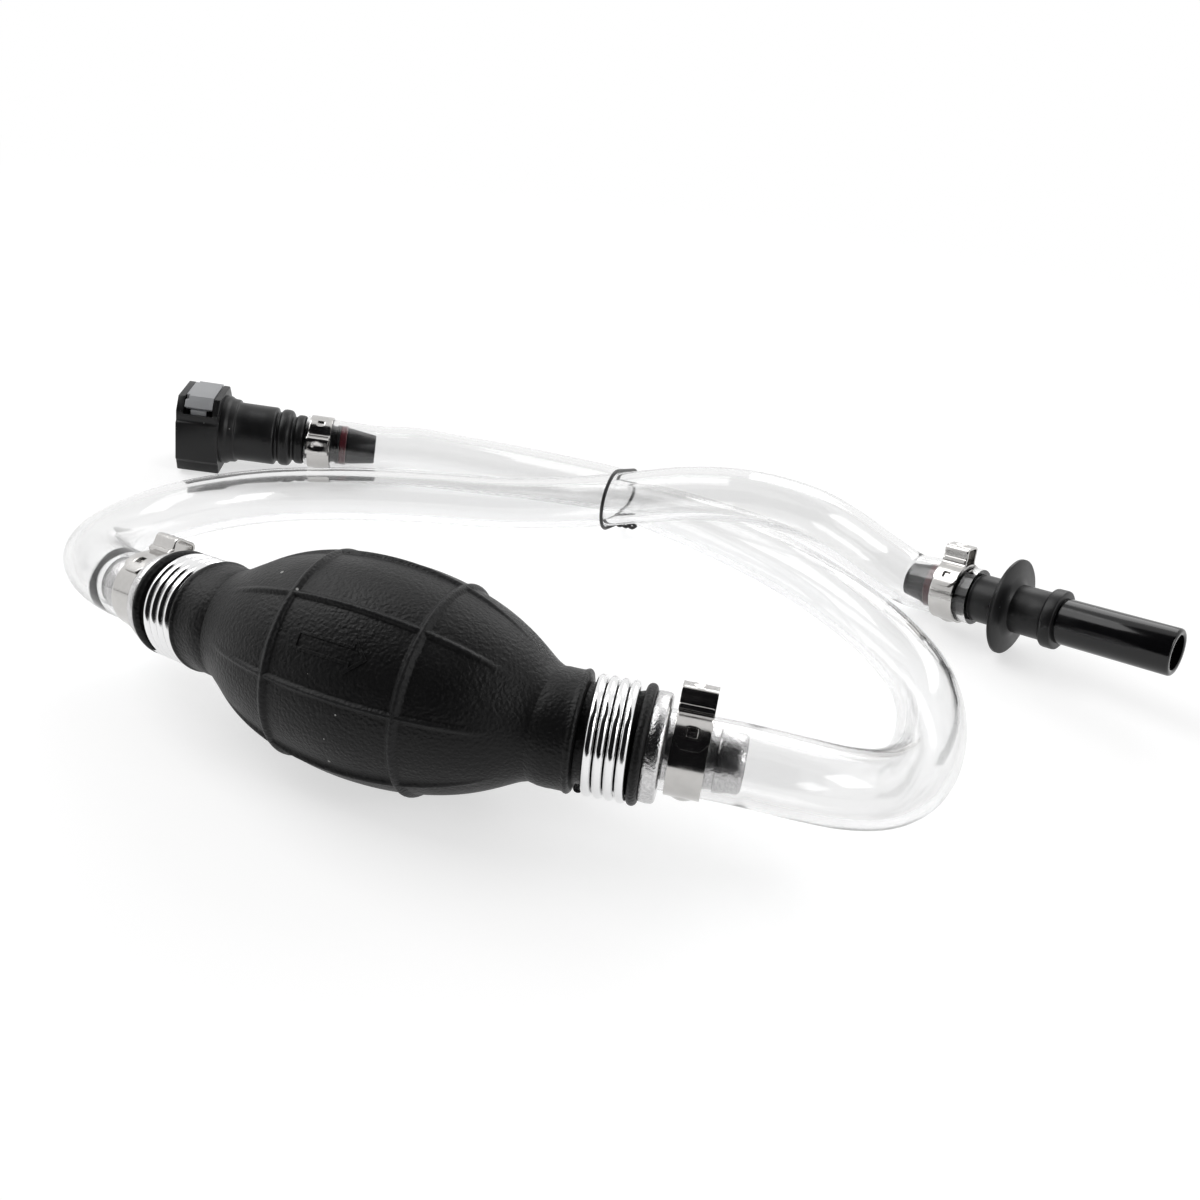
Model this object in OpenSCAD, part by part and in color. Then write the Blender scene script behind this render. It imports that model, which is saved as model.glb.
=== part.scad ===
// Hand-squeezed siphon bulb pump with two clear hoses.
// The bulb lies along X: fluid enters at its -X end and leaves at its +X end.
// Z is up and the bulb's belly rests on z = 0. All sizes are in millimetres.

/* [Bulb] */
// Radius of the bulb at its middle
bulb_r = 23; // [21:0.1:25]
// Half length of the bulb's egg shape
bulb_half = 40; // [38:0.5:44]
// Thickness of the rubber wall
bulb_wall = 3; // [2.4:0.1:3.4]
// Distance from the middle to each ring rib
ring_x = 14.2; // [11:0.1:17]
// Height of the ribs above the skin
rib_h = 0.8; // [0.4:0.1:1.2]
// Width of the long ribs
rib_w = 1.5; // [1:0.1:2.2]
// Number of long ribs
rib_count = 8; // [6:1:10]
// Turn of the first long rib up from the front
rib_turn = 16; // [8:1:24]
// Length of each squeeze wall, as a share of the bulb's length
panel_long = 0.675; // [0.6:0.005:0.7]
// Height of each squeeze wall, as a share of the bulb's height
panel_high = 0.6; // [0.58:0.005:0.62]
// Length of the raised flow arrow
arrow_l = 15; // [12:0.5:17]

/* [Necks] */
// Radius of each neck and its end bead
neck_r = 12; // [11.4:0.1:12.6]
// Radius of the groove that the wire clamp sits in
groove_r = 10; // [9.6:0.1:10.4]
// Radius of each neck's bore, which grips the valve body
neck_bore = 7.4; // [7:0.1:7.8]
// Middle of the bulb to the inlet neck's bend
pivot_in = 36.5; // [36:0.5:39]
// Middle of the bulb to the outlet neck's bend
pivot_out = 39; // [38:0.5:42]
// Sideways bend of the inlet neck
bend_in = 13; // [6:1:15]
// Downward bend of the inlet neck
droop_in = 7; // [3:1:8]
// Sideways bend of the outlet neck
bend_out = 10; // [4:1:12]
// Extra length of the inlet neck
neck_in_extra = 1.5; // [1:0.5:3]
// Start of the wire groove from the bend
groove_l = 4.8; // [4.5:0.1:5.5]
// Width of the wire groove
groove_w = 10.9; // [10.9:0.1:11.6]
// Thickness of the end bead
bead_t = 2; // [1.6:0.1:2.6]

/* [Neck wire clamps] */
// Wire diameter
wire_d = 1.75; // [1.5:0.05:1.75]
// Rise of the wire in one turn
wire_pitch = 2.2; // [2.2:0.01:2.25]
// Number of turns
wire_turns = 4; // [3:1:4]

/* [Check valves] */
// Radius of the cast flange
flange_r = 11; // [10:0.1:12]
// Thickness of the cast flange
flange_t = 3.3; // [3:0.1:4.5]
// Length of the spigot beyond the flange
spigot_l = 15.7; // [14.5:0.1:17]
// Radius of the spigot between its barbs
spigot_r = 5.9; // [5.6:0.05:6]
// Radius of the spigot's barbs
barb_r = 6.4; // [6.2:0.05:6.45]
// Radius of the flow passage
flow_r = 3.4; // [3:0.1:3.8]
// Radius of the valve chamber
chamber_r = 5.8; // [5.5:0.1:6]
// Length of the valve chamber
chamber_l = 13.5; // [13:0.1:14.5]
// Radius of the poppet's disc
poppet_r = 4.9; // [4.6:0.1:5.1]
// Thickness of the poppet's disc
poppet_t = 1.2; // [1:0.1:1.5]
// Radius of the poppet's stem
stem_r = 1.2; // [1:0.05:1.4]
// How far each poppet opens
poppet_lift = 2.2; // [1.5:0.1:2.5]
// Thickness of the rubber valve seat
seat_t = 1.3; // [1:0.1:1.6]
// Thickness of the spring cage
cage_t = 2; // [1.6:0.1:2.4]
// Wire diameter of the valve spring
spring_d = 0.6; // [0.5:0.05:0.7]
// Turns of the valve spring
spring_turns = 4; // [3:1:5]

/* [Hoses] */
// Outer diameter of the hoses
hose_od = 16; // [15.8:0.1:16]
// Inner diameter of the hoses
hose_id = 12; // [11:0.1:12.4]
// Bore radius of a hose end stretched over a stem
hose_stretch_r = 6.75; // [6.7:0.01:6.8]
// Wire diameter of the twist tie
tie_d = 0.9; // [0.7:0.1:1]

/* [Hose clamps] */
// Width of the clamp band
band_w = 7; // [6.4:0.1:8.4]
// Thickness of the clamp band
band_t = 0.6; // [0.5:0.05:0.8]
// Height of the closing ear above the band
ear_h = 5; // [4:0.1:5.6]
// Width of the closing ear across its legs
ear_w = 5.6; // [5:0.1:6.4]

/* [Quick connector] */
// Height of the connector head
head_h = 24.6; // [24:0.1:26]
// Width of the connector head
head_w = 22.8; // [22.6:0.1:24]
// Length of the connector head
head_l = 13; // [12.4:0.1:14]
// Radius of the body behind the head
body_r = 9.4; // [9.2:0.1:10]
// Length of the body behind the head
body_l = 18; // [17:0.1:19]
// Radius of the socket for the mating tube
socket_r = 6.4; // [6.2:0.05:6.5]
// Depth of the socket
socket_l = 24; // [23:0.5:26]
// Travel of the release button
button_travel = 2; // [1.5:0.1:2.2]
// Length of the barbed stem
stem_l = 23; // [22:0.1:24]

/* [Male connector] */
// Radius of the stop disc
disc_r = 13.5; // [12.5:0.1:14]
// Thickness of the stop disc at its rim
disc_t = 1.2; // [1:0.1:1.6]
// Radius of the body on each side of the disc
male_body_r = 6.8; // [6.6:0.1:7.2]
// Radius of the collar
collar_r = 8.2; // [7.8:0.1:8.8]
// Thickness of the collar
collar_t = 3.5; // [3:0.1:4.5]
// Radius of the male tube
tube_r = 6.3; // [6.2:0.05:6.35]
// Wall thickness of the male tube
tube_wall = 1.6; // [1.2:0.1:2]
// Length of the male tube beyond the collar
tube_l = 29.5; // [24:0.5:34]

/* [Hidden] */
$fn = 64;
// Running gap between pieces that move past each other
gap = 0.3;
// Running gap of a poppet's stem in its cage
stem_gap = 0.05;
// Small overlap that opens cuts cleanly
e = 0.01;

// Shift that brings the middle of the pump to x = 0
mid_x = -0.65;
// Turn from straight down to the nearest long rib, which may stand lower than the skin
rib_step = 360 / rib_count;
rib_lean = min((90 + rib_turn) % rib_step, rib_step - (90 + rib_turn) % rib_step);
rib_low = (bulb_r + rib_h) * cos(rib_lean) + rib_w / 2 * sin(rib_lean);
bulb_z = max(bulb_r, rib_low) + 0.02;
// The egg ends a little inside the dome at each bend
dome_r = neck_r + 0.05;
egg_end_r = neck_r - 0.4;
panel_a = panel_long * bulb_half;
panel_b = panel_high * bulb_r;
bead_l = groove_l + groove_w;
flange_l = bead_l + bead_t;
spigot_0 = flange_l + flange_t;
spigot_1 = spigot_0 + spigot_l;
tail_l = 1.5;
chamber_end = tail_l + chamber_l;
hose_r = hose_od / 2;
hose_start = spigot_0 + 0.2;
band_in_r = hose_r + 0.05;
band_l = spigot_0 + 1.4 + band_w / 2;
wire_r = wire_d / 2;
// Chords of the coil clear the groove, so its centre line stands a little off it
coil_r = (groove_r + 0.1 + wire_r) / cos(7.5);
coil_l = groove_l + 0.1 + wire_r;

// Quick connector stations along its axis, from the mouth
step_l = head_l + 4.5;
rib_l = head_l + body_l;
rib2_l = rib_l + 5;
stem_0 = rib2_l + 3;
stem_1 = stem_0 + stem_l;
q_hose_end = stem_0 + 0.3;
q_band_l = stem_0 + 1.5 + band_w / 2;
q_ring_l = q_band_l + band_w / 2 + 4;
q_tilt = 4;
q_yaw = 26;
// The head's lower edge rests on z = 0
q_pos = [-140.8, 108.9, head_h / 2 * cos(q_tilt) + head_l * sin(q_tilt) + 0.02];

// Male connector stations along its axis, from the disc
m_hose_end = -10;
m_band_l = m_hose_end - 3.7 - band_w / 2;
m_ring_l = m_band_l - band_w / 2 - 1.9;
m_nose_l = m_ring_l - 8.6;
collar_l = 11;
// Step on the tube that seats against the collar
tube_step = 0.5;
m_tilt = 9;
m_yaw = -24;
// The disc's rim rests on z = 0
m_pos = [121.3, 130.2, disc_r * cos(m_tilt) + disc_t / 2 * sin(m_tilt) + 0.02];

// Directions of the four local axes
function dir(yaw, tilt) = [cos(yaw) * cos(tilt), sin(yaw) * cos(tilt), sin(tilt)];
in_dir = dir(180 - bend_in, -droop_in);
out_dir = dir(bend_out, 0);
function in_at(l) = [mid_x - pivot_in, 0, bulb_z] + (l + neck_in_extra) * in_dir;
function out_at(l) = [mid_x + pivot_out, 0, bulb_z] + l * out_dir;
function q_at(l) = q_pos + l * dir(q_yaw, -q_tilt);
function m_at(l) = m_pos + l * dir(m_yaw, m_tilt);

// Routes of the two hoses: ends follow the stems, free points are chosen by hand
inlet_route = [in_at(hose_start), in_at(hose_start + 8), in_at(spigot_1),
    [-84, 13, 16.8], [-93, 20, 14.8], [-99.5, 29.5, 12.8], [-103.5, 41, 11], [-105, 53, 9.8],
    [-103, 65, 9], [-98, 77, 8.4], [-90, 88, 8.1], [-79, 97.5, 8], [-66, 106, 8],
    [-50, 114.5, 8], [-33, 122.5, 8], [-17, 129.5, 9.5], [-3, 133, 12.6], [10, 133.5, 17],
    [24, 134, 21.5], [38, 134, 24.4], [50, 134.8, 24.8], [62, 137.5, 22.6], [73, 141, 17.5],
    [83, 143.4, 12], m_at(m_nose_l), m_at(m_ring_l), m_at(m_hose_end)];
outlet_route = [out_at(hose_start), out_at(hose_start + 8), out_at(spigot_1),
    [85, 8.6, 22.4], [93, 12.8, 20.4], [99.5, 19.5, 17.8], [103.8, 28.5, 15], [106.3, 39, 12.3],
    [107.5, 50, 10.2], [107.5, 62, 8.8], [106, 74, 8.1], [102.5, 85.5, 8], [96.5, 96, 8],
    [88.5, 106, 8], [78, 116, 8], [65, 126, 8], [50, 134.7, 8], [34, 141.7, 8],
    [17, 146.8, 8.4], [5, 148.9, 9.1], [-7, 149.9, 9.3], [-20, 150.3, 8.8], [-40, 149.3, 8.4],
    [-58, 146.2, 8.5], [-72, 141.8, 9.3], q_at(stem_1), q_at(q_ring_l), q_at(q_hose_end)];

// Where the twist tie goes round the two hoses: x, then y and z of each hose
tie_x = 0.5;
tie_1 = [133.2, 13.7];
tie_2 = [149.4, 9.2];

// --- shared shapes -------------------------------------------------------

function unit(v) = v / norm(v);
function tangent(p, i) =
    unit(p[min(i + 1, len(p) - 1)] - p[max(i - 1, 0)]);
function square_to(u, t) = unit(u - (u * t) * t);

// Directions square to a path, carried along it without twist
function sides_of(p, u0) = [for (i = 0, u = square_to(u0, tangent(p, 0)); i < len(p);
    i = i + 1, u = square_to(u, tangent(p, min(i, len(p) - 1)))) u];
function rings(p, u, r, n) = [for (i = [0:len(p) - 1], k = [0:n - 1])
    p[i] + r[i] * (cos(360 * k / n) * u[i] + sin(360 * k / n) * cross(tangent(p, i), u[i]))];
function skin(a, b, n, c) = [for (i = [0:c - 2], k = [0:n - 1])
    let (k2 = (k + 1) % n, p = a + i * n, q = a + (i + 1) * n)
    each (b ? [[p + k, p + k2, q + k2], [p + k, q + k2, q + k]]
            : [[p + k, q + k2, p + k2], [p + k, q + k, q + k2]])];

// Solid tube along a path: one closed polyhedron
module solid_tube(p, r, n, u0) {
    c = len(p);
    pts = rings(p, sides_of(p, u0), [for (i = p) r], n);
    ends = concat([for (k = [1:n - 2]) [0, k, k + 1]],
        [for (k = [1:n - 2]) [(c - 1) * n, (c - 1) * n + k + 1, (c - 1) * n + k]]);
    polyhedron(points = pts, faces = concat(skin(0, false, n, c), ends));
}

// Hollow hose along a path, its bore stretched over a stem for some rings at each end
module hose(p, first, last) {
    n = 12;
    c = len(p);
    u = sides_of(p, [0, 0, 1]);
    ri = [for (i = [0:c - 1]) i < first || i >= c - last ? hose_stretch_r : hose_id / 2];
    pts = concat(rings(p, u, [for (i = p) hose_r], n), rings(p, u, ri, n));
    m = c * n;
    z = (c - 1) * n;
    ends = [for (k = [0:n - 1]) let (k2 = (k + 1) % n)
        each [[k, k2, m + k2], [k, m + k2, m + k],
            [z + k, m + z + k2, z + k2], [z + k, m + z + k, m + z + k2]]];
    polyhedron(points = pts, faces = concat(skin(0, false, n, c), skin(m, true, n, c), ends));
}

// Points of a coil round X, with straight ends one wire long
function coil_path(r, x0, pitch, turns, per, lead) =
    let (a1 = 360 * turns)
    concat([[x0, r, -lead]],
        [for (i = [0:per * turns]) let (a = 360 * i / per)
            [x0 + pitch * a / 360, r * cos(a), r * sin(a)]],
        [[x0 + pitch * turns, r * cos(a1) - lead * sin(a1), r * sin(a1) + lead * cos(a1)]]);
// Least distance between the skins of a wire's turns
function least_gap(p, d, skip) = min([for (i = [0:len(p) - 1]) for (j = [i + skip:1:len(p) - 1])
    norm(p[i] - p[j])]) - d;

module at_inlet() {
    translate([mid_x - pivot_in, 0, bulb_z])
        rotate([0, 0, 180 - bend_in])
            rotate([0, droop_in, 0])
                translate([neck_in_extra, 0, 0])
                    children();
}
module at_outlet() {
    translate([mid_x + pivot_out, 0, bulb_z])
        rotate([0, 0, bend_out])
            children();
}
module at_quick() {
    translate(q_pos)
        rotate([0, 0, q_yaw])
            rotate([0, q_tilt, 0])
                children();
}
module at_male() {
    translate(m_pos)
        rotate([0, 0, m_yaw])
            rotate([0, -m_tilt, 0])
                children();
}

// Solid of revolution about X from points [x, r]
module turn(pts) {
    rotate([0, 90, 0])
        rotate_extrude()
            polygon([for (p = pts) [p[1], p[0]]]);
}
module rod(x0, x1, r) {
    translate([x0, 0, 0])
        rotate([0, 90, 0])
            cylinder(r = r, h = x1 - x0);
}
// Barbed outline of a stem, as points [x, r], from its root to its tip
function barbs(x0, pitch, count, root, top) = [for (i = [0:count - 1])
    each [[x0 + i * pitch, root], [x0 + i * pitch, top], [x0 + (i + 0.75) * pitch, root]]];

// --- bulb ----------------------------------------------------------------

// An egg that blends into the necks
function egg(x, r, a, n) =
    pow(pow(r * sqrt(max(0, 1 - pow(x / a, 2))), 8) + pow(n, 8), 1 / 8);
function egg_side(x0, x1, r, a, n, steps) = [for (i = [0:steps])
    let (x = x0 + (x1 - x0) * i / steps) [x, egg(x, r, a, n)]];

// Neck from its bend, with a dome that fills the bend
module neck(bend_l) {
    turn(concat([[bend_l - dome_r * sin(40), 0]],
        [for (a = [40:-8:0]) [bend_l - dome_r * sin(a), dome_r * cos(a)]],
        [[bend_l + 1, neck_r], [groove_l - 1.6, neck_r],
        [groove_l - 1.4, neck_r + 0.35], [groove_l - 0.3, neck_r + 0.35],
        [groove_l, neck_r], [groove_l, groove_r], [bead_l, groove_r],
        [bead_l, neck_r - 0.3], [bead_l + 0.4, neck_r], [flange_l - 0.6, neck_r],
        [flange_l, neck_r - 0.6], [flange_l, 0]]));
}

module long_rib() {
    reach = panel_a + 4;
    top = [for (i = [-12:12]) let (x = reach * i / 12)
        [x, egg(x, bulb_r, bulb_half, egg_end_r) - 0.3
            + (rib_h + 0.3) * (1 - pow(abs(i) / 12, 3))]];
    low = [for (i = [12:-1:-12]) let (x = reach * i / 12)
        [x, egg(x, bulb_r, bulb_half, egg_end_r) - 1.2]];
    rotate([90, 0, 0])
        linear_extrude(rib_w, center = true)
            polygon(concat(top, low));
}

module arrow_2d(l, w, t) {
    polygon([[-l / 2, -w / 2], [l / 2 - w, -w / 2], [l / 2 - w, -w], [l / 2, 0],
        [l / 2 - w, w], [l / 2 - w, w / 2], [-l / 2, w / 2]]);
}

module flow_arrow() {
    translate([-1, 0, bulb_r - 1.2])
        linear_extrude(1.5)
            difference() {
                arrow_2d(arrow_l, 3.6);
                translate([-0.25, 0])
                    arrow_2d(arrow_l - 2.2, 2.1);
            }
}

// The outside of the egg with its ribs and arrow
module egg_outside() {
    translate([mid_x, 0, bulb_z]) {
        turn(concat([[-pivot_in, 0]],
            egg_side(-pivot_in, pivot_out, bulb_r, bulb_half, egg_end_r, 40),
            [[pivot_out, 0]]));
        for (s = [-1, 1])
            translate([s * ring_x, 0, 0])
                rotate([0, 90, 0])
                    rotate_extrude()
                        translate([egg(ring_x, bulb_r, bulb_half, egg_end_r) - 0.2, 0])
                            circle(r = rib_h + 0.2, $fn = 24);
        for (k = [0:rib_count - 1])
            rotate([90 - rib_turn - rib_step * k, 0, 0])
                long_rib();
        rotate([90 - rib_turn - rib_step / 2, 0, 0])
            flow_arrow();
    }
}

// The hollow inside, which ends in a small step where each neck's bore starts
module egg_inside() {
    r = bulb_r - bulb_wall;
    a = bulb_half - bulb_wall;
    n = neck_bore + 0.8;
    translate([mid_x, 0, bulb_z])
        turn(concat([[-pivot_in - 1, 0]],
            egg_side(-pivot_in - 1, pivot_out + 1, r, a, n, 30),
            [[pivot_out + 1, 0]]));
}

// Prism square to Y that outlines a squeeze wall; s is -1 at the front
module squeeze_prism(s, grow) {
    translate([mid_x, s * bulb_r, bulb_z])
        rotate([90, 0, 0])
            linear_extrude(bulb_r * 2 - 4, center = true)
                polygon([for (i = [0:31]) let (a = 360 * i / 32)
                    [(panel_a + grow) * cos(a), (panel_b + grow) * sin(a)]]);
}

module bulb() {
    color([0.07, 0.07, 0.07])
        difference() {
            union() {
                egg_outside();
                at_inlet()
                    neck(-neck_in_extra);
                at_outlet()
                    neck(0);
            }
            egg_inside();
            at_inlet()
                rod(-5, flange_l + e, neck_bore);
            at_outlet()
                rod(-5, flange_l + e, neck_bore);
            squeeze_prism(-1, gap);
            squeeze_prism(1, gap);
        }
}

module squeeze_wall(s) {
    color([0.09, 0.09, 0.09])
        intersection() {
            difference() {
                egg_outside();
                egg_inside();
            }
            squeeze_prism(s, 0);
        }
}
module front_panel() {
    squeeze_wall(-1);
}
module back_panel() {
    squeeze_wall(1);
}

// --- check valves --------------------------------------------------------

// Cast body in its neck's frame: tail, flange and barbed spigot
module valve_body() {
    color([0.62, 0.62, 0.6])
        difference() {
            turn(concat([[tail_l, 0], [tail_l, neck_bore - 0.5], [tail_l + 0.8, neck_bore],
                    [flange_l, neck_bore], [flange_l, flange_r - 0.4], [flange_l + 0.4, flange_r],
                    [spigot_0 - 0.5, flange_r], [spigot_0, flange_r - 0.5]],
                    [[spigot_0, spigot_r]],
                    barbs(spigot_0 + 2.6, 4, 3, spigot_r, barb_r),
                    [[spigot_1 - 0.8, spigot_r], [spigot_1, spigot_r - 0.6], [spigot_1, 0]]));
            rod(tail_l - e, chamber_end, chamber_r);
            rod(chamber_end - e, spigot_1 + e, flow_r);
        }
}

module valve_seat(l) {
    color([0.15, 0.12, 0.1])
        turn([[l, flow_r + 0.2], [l + seat_t, flow_r + 0.2], [l + seat_t, chamber_r],
            [l, chamber_r]]);
}

// Spider that guides the stem and holds the spring
module valve_cage(l) {
    color([0.75, 0.72, 0.6])
        difference() {
            rod(l, l + cage_t, chamber_r);
            rod(l - 1, l + cage_t + 1, stem_r + stem_gap);
            for (k = [0:3])
                rotate([90 * k, 0, 0])
                    translate([0, (chamber_r + stem_r) / 2 + 0.2, 0])
                        rod(l - 1, l + cage_t + 1, 1.3);
        }
}

// Disc with a stem; the disc's seating face is at l, the stem points along s
module poppet(l, s, reach) {
    color([0.85, 0.82, 0.7])
        translate([l, 0, 0])
            rotate([0, 0, s > 0 ? 0 : 180])
                turn([[0, 0], [0, poppet_r - 0.3], [0.3, poppet_r], [poppet_t, poppet_r],
                    [poppet_t, stem_r], [reach - 0.3, stem_r], [reach, stem_r - 0.3], [reach, 0]]);
}

module valve_spring(x0, x1) {
    d = spring_d;
    r = (stem_r + poppet_r) / 2;
    path = coil_path(r, x0 + d / 2, (x1 - x0 - d) / spring_turns, spring_turns, 8, d);
    color([0.7, 0.7, 0.72])
        solid_tube(path, d / 2, 6, [1, 0, 0]);
}

// The inlet valve opens towards the bulb, the outlet valve away from it
in_seat_l = chamber_end - seat_t;
in_face = in_seat_l - gap;
in_cage_l = tail_l + 0.4;
out_seat_l = tail_l + 0.4;
out_face = out_seat_l + seat_t + gap;
out_cage_l = chamber_end - cage_t;
poppet_reach = in_face - in_cage_l - 0.2;
spring_in = [in_cage_l + cage_t, in_face - poppet_t];
spring_out = [out_face + poppet_t, out_cage_l];

module inlet_valve_body() {
    at_inlet()
        valve_body();
}
module inlet_valve_seat() {
    at_inlet()
        valve_seat(in_seat_l);
}
module inlet_poppet() {
    at_inlet()
        poppet(in_face, -1, poppet_reach);
}
module inlet_spring() {
    at_inlet()
        valve_spring(spring_in[0], spring_in[1]);
}
module inlet_valve_cage() {
    at_inlet()
        valve_cage(in_cage_l);
}
module outlet_valve_body() {
    at_outlet()
        valve_body();
}
module outlet_valve_seat() {
    at_outlet()
        valve_seat(out_seat_l);
}
module outlet_poppet() {
    at_outlet()
        poppet(out_face, 1, poppet_reach);
}
module outlet_spring() {
    at_outlet()
        valve_spring(spring_out[0], spring_out[1]);
}
module outlet_valve_cage() {
    at_outlet()
        valve_cage(out_cage_l);
}

// --- neck wire clamps and hose clamps -------------------------------------

neck_coil = coil_path(coil_r, coil_l, wire_pitch, wire_turns, 24, wire_d);
echo(str("neck clamp wire, least gap between turns: ", least_gap(neck_coil, wire_d, 12)));

module neck_clamp(turned) {
    color([0.78, 0.78, 0.8])
        rotate([turned, 0, 0])
            solid_tube(neck_coil, wire_r, 6, [1, 0, 0]);
}
module inlet_neck_clamp() {
    at_inlet()
        neck_clamp(-35);
}
module outlet_neck_clamp() {
    at_outlet()
        neck_clamp(245);
}

// Stepless band with a raised closing ear and a tongue hooked under it
module ear_2d(w, h, r) {
    translate([-w / 2, r - 1])
        square([w, h - 0.2]);
    for (s = [-1, 1])
        translate([s * (w / 2 - 1.2), r - 1 + h - 0.2])
            circle(r = 1.2, $fn = 24);
    translate([-w / 2 + 1.2, r - 1])
        square([w - 2.4, h + 1]);
}
module hose_clamp(l, turned) {
    color([0.8, 0.8, 0.8])
        translate([l, 0, 0])
            rotate([turned, 0, 0])
                rotate([90, 0, 90]) {
                    linear_extrude(band_w, center = true)
                        difference() {
                            circle(r = band_in_r + band_t, $fn = 96);
                            circle(r = band_in_r, $fn = 96);
                        }
                    linear_extrude(band_w - 1.4, center = true)
                        difference() {
                            ear_2d(ear_w, ear_h, band_in_r + band_t);
                            ear_2d(ear_w - 1.4, ear_h - 0.7, band_in_r + band_t);
                            circle(r = band_in_r + band_t - 0.2, $fn = 96);
                        }
                    rotate(-38)
                        linear_extrude(band_w - 2.4, center = true)
                            translate([-1.6, band_in_r + band_t - 0.25])
                                square([3.2, 0.75]);
                }
}
module inlet_hose_clamp() {
    at_inlet()
        hose_clamp(band_l, 35);
}
module outlet_hose_clamp() {
    at_outlet()
        hose_clamp(band_l, -18);
}

// --- hoses ---------------------------------------------------------------

module inlet_hose() {
    color([0.9, 0.92, 0.93, 0.4])
        hose(inlet_route, 3, 3);
}
module outlet_hose() {
    color([0.9, 0.92, 0.93, 0.4])
        hose(outlet_route, 3, 3);
}

// Twist tie: a wire once round both hoses, its ends wound together
tie_lean = atan2(tie_2[1] - tie_1[1], tie_2[0] - tie_1[0]);
tie_r1 = hose_r + tie_d / 2 + 0.65;
tie_r2 = hose_r + tie_d / 2 + 0.1;
function tie_arc(c, r, a0, a1, n) = [for (i = [0:n])
    let (a = a0 + (a1 - a0) * i / n) [tie_x, c[0] + r * cos(a), c[1] + r * sin(a)]];
tie_start = 205;
// The pigtail leaves the near hose outwards and a little up
pig = unit([0.75, cos(tie_start), sin(tie_start) + 0.25]);
pig_u = unit(cross(pig, [0, sin(tie_start), -cos(tie_start)]));
pig_v = cross(pig, pig_u);
pig_0 = [tie_x, tie_1[0] + (tie_r1 + 0.7) * cos(tie_start), tie_1[1] + (tie_r1 + 0.7) * sin(tie_start)];
pig_r = 0.72;
function pigtail(phase) = [for (i = [0:12]) let (a = phase + 45 * i)
    pig_0 + pig * (0.9 + i * 0.5) + pig_r * (cos(a) * pig_u + sin(a) * pig_v)];
function backwards(p) = [for (i = [len(p) - 1:-1:0]) p[i]];
tie_path = concat(backwards(pigtail(90)),
    tie_arc(tie_1, tie_r1, tie_start + 6, 270 + tie_lean, 6),
    tie_arc(tie_2, tie_r2, tie_lean - 90, tie_lean + 90, 12),
    tie_arc(tie_1, tie_r1, tie_lean + 90, tie_start - 6, 9),
    pigtail(270));
echo(str("twist tie wire, least gap between strands: ", least_gap(tie_path, tie_d, 8)));

module hose_tie() {
    color([0.08, 0.08, 0.08])
        solid_tube(tie_path, tie_d / 2, 6, [1, 0, 0]);
}

// --- quick connector -----------------------------------------------------

// The head's upper corners, where its chamfers start and end
top_y = head_w * 0.32;
top_z = head_h / 2;
side_y = head_w / 2 - 0.8;
side_z = top_z * 0.67;
saddle_x0 = 2.4;
saddle_x1 = head_l - 2.2;
leg_in = socket_r + 1.2;
leg_t = 1.6;
leg_x0 = 4.2;
leg_x1 = 8.8;
leg_z = -head_h / 2 + 5.3;
// Half of the button's section and of the pocket that it moves in, as [y, z]
saddle = [[top_y, top_z + gap], [side_y - gap, side_z + 0.4], [side_y - 2.3, side_z - 1],
    [top_y - 1, top_z - 2.3]];
pocket = [[side_y + 4, side_z - button_travel - 0.1], [side_y, side_z - button_travel - 0.1],
    [side_y - 2.4, side_z - button_travel - 1.5], [top_y - 1.2, top_z - button_travel - 2.7]];
function both_sides(half) = concat(half, [for (i = [len(half) - 1:-1:0]) [-half[i][0], half[i][1]]]);
seal_l = head_l + 1.5;
seal_w = 2.4;
spacer_w = 1.8;

module head_outline() {
    h = head_h / 2;
    w = head_w / 2;
    polygon([[w * 0.64, h], [w - 0.8, h * 0.67], [w - 0.8, h * 0.42], [w, h * 0.36],
        [w, -h * 0.63], [w - 0.8, -h * 0.69], [w * 0.79, -h], [-w * 0.79, -h],
        [-w + 0.8, -h * 0.69], [-w, -h * 0.63], [-w, h * 0.36], [-w + 0.8, h * 0.42],
        [-w + 0.8, h * 0.67], [-w * 0.64, h]]);
}

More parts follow.
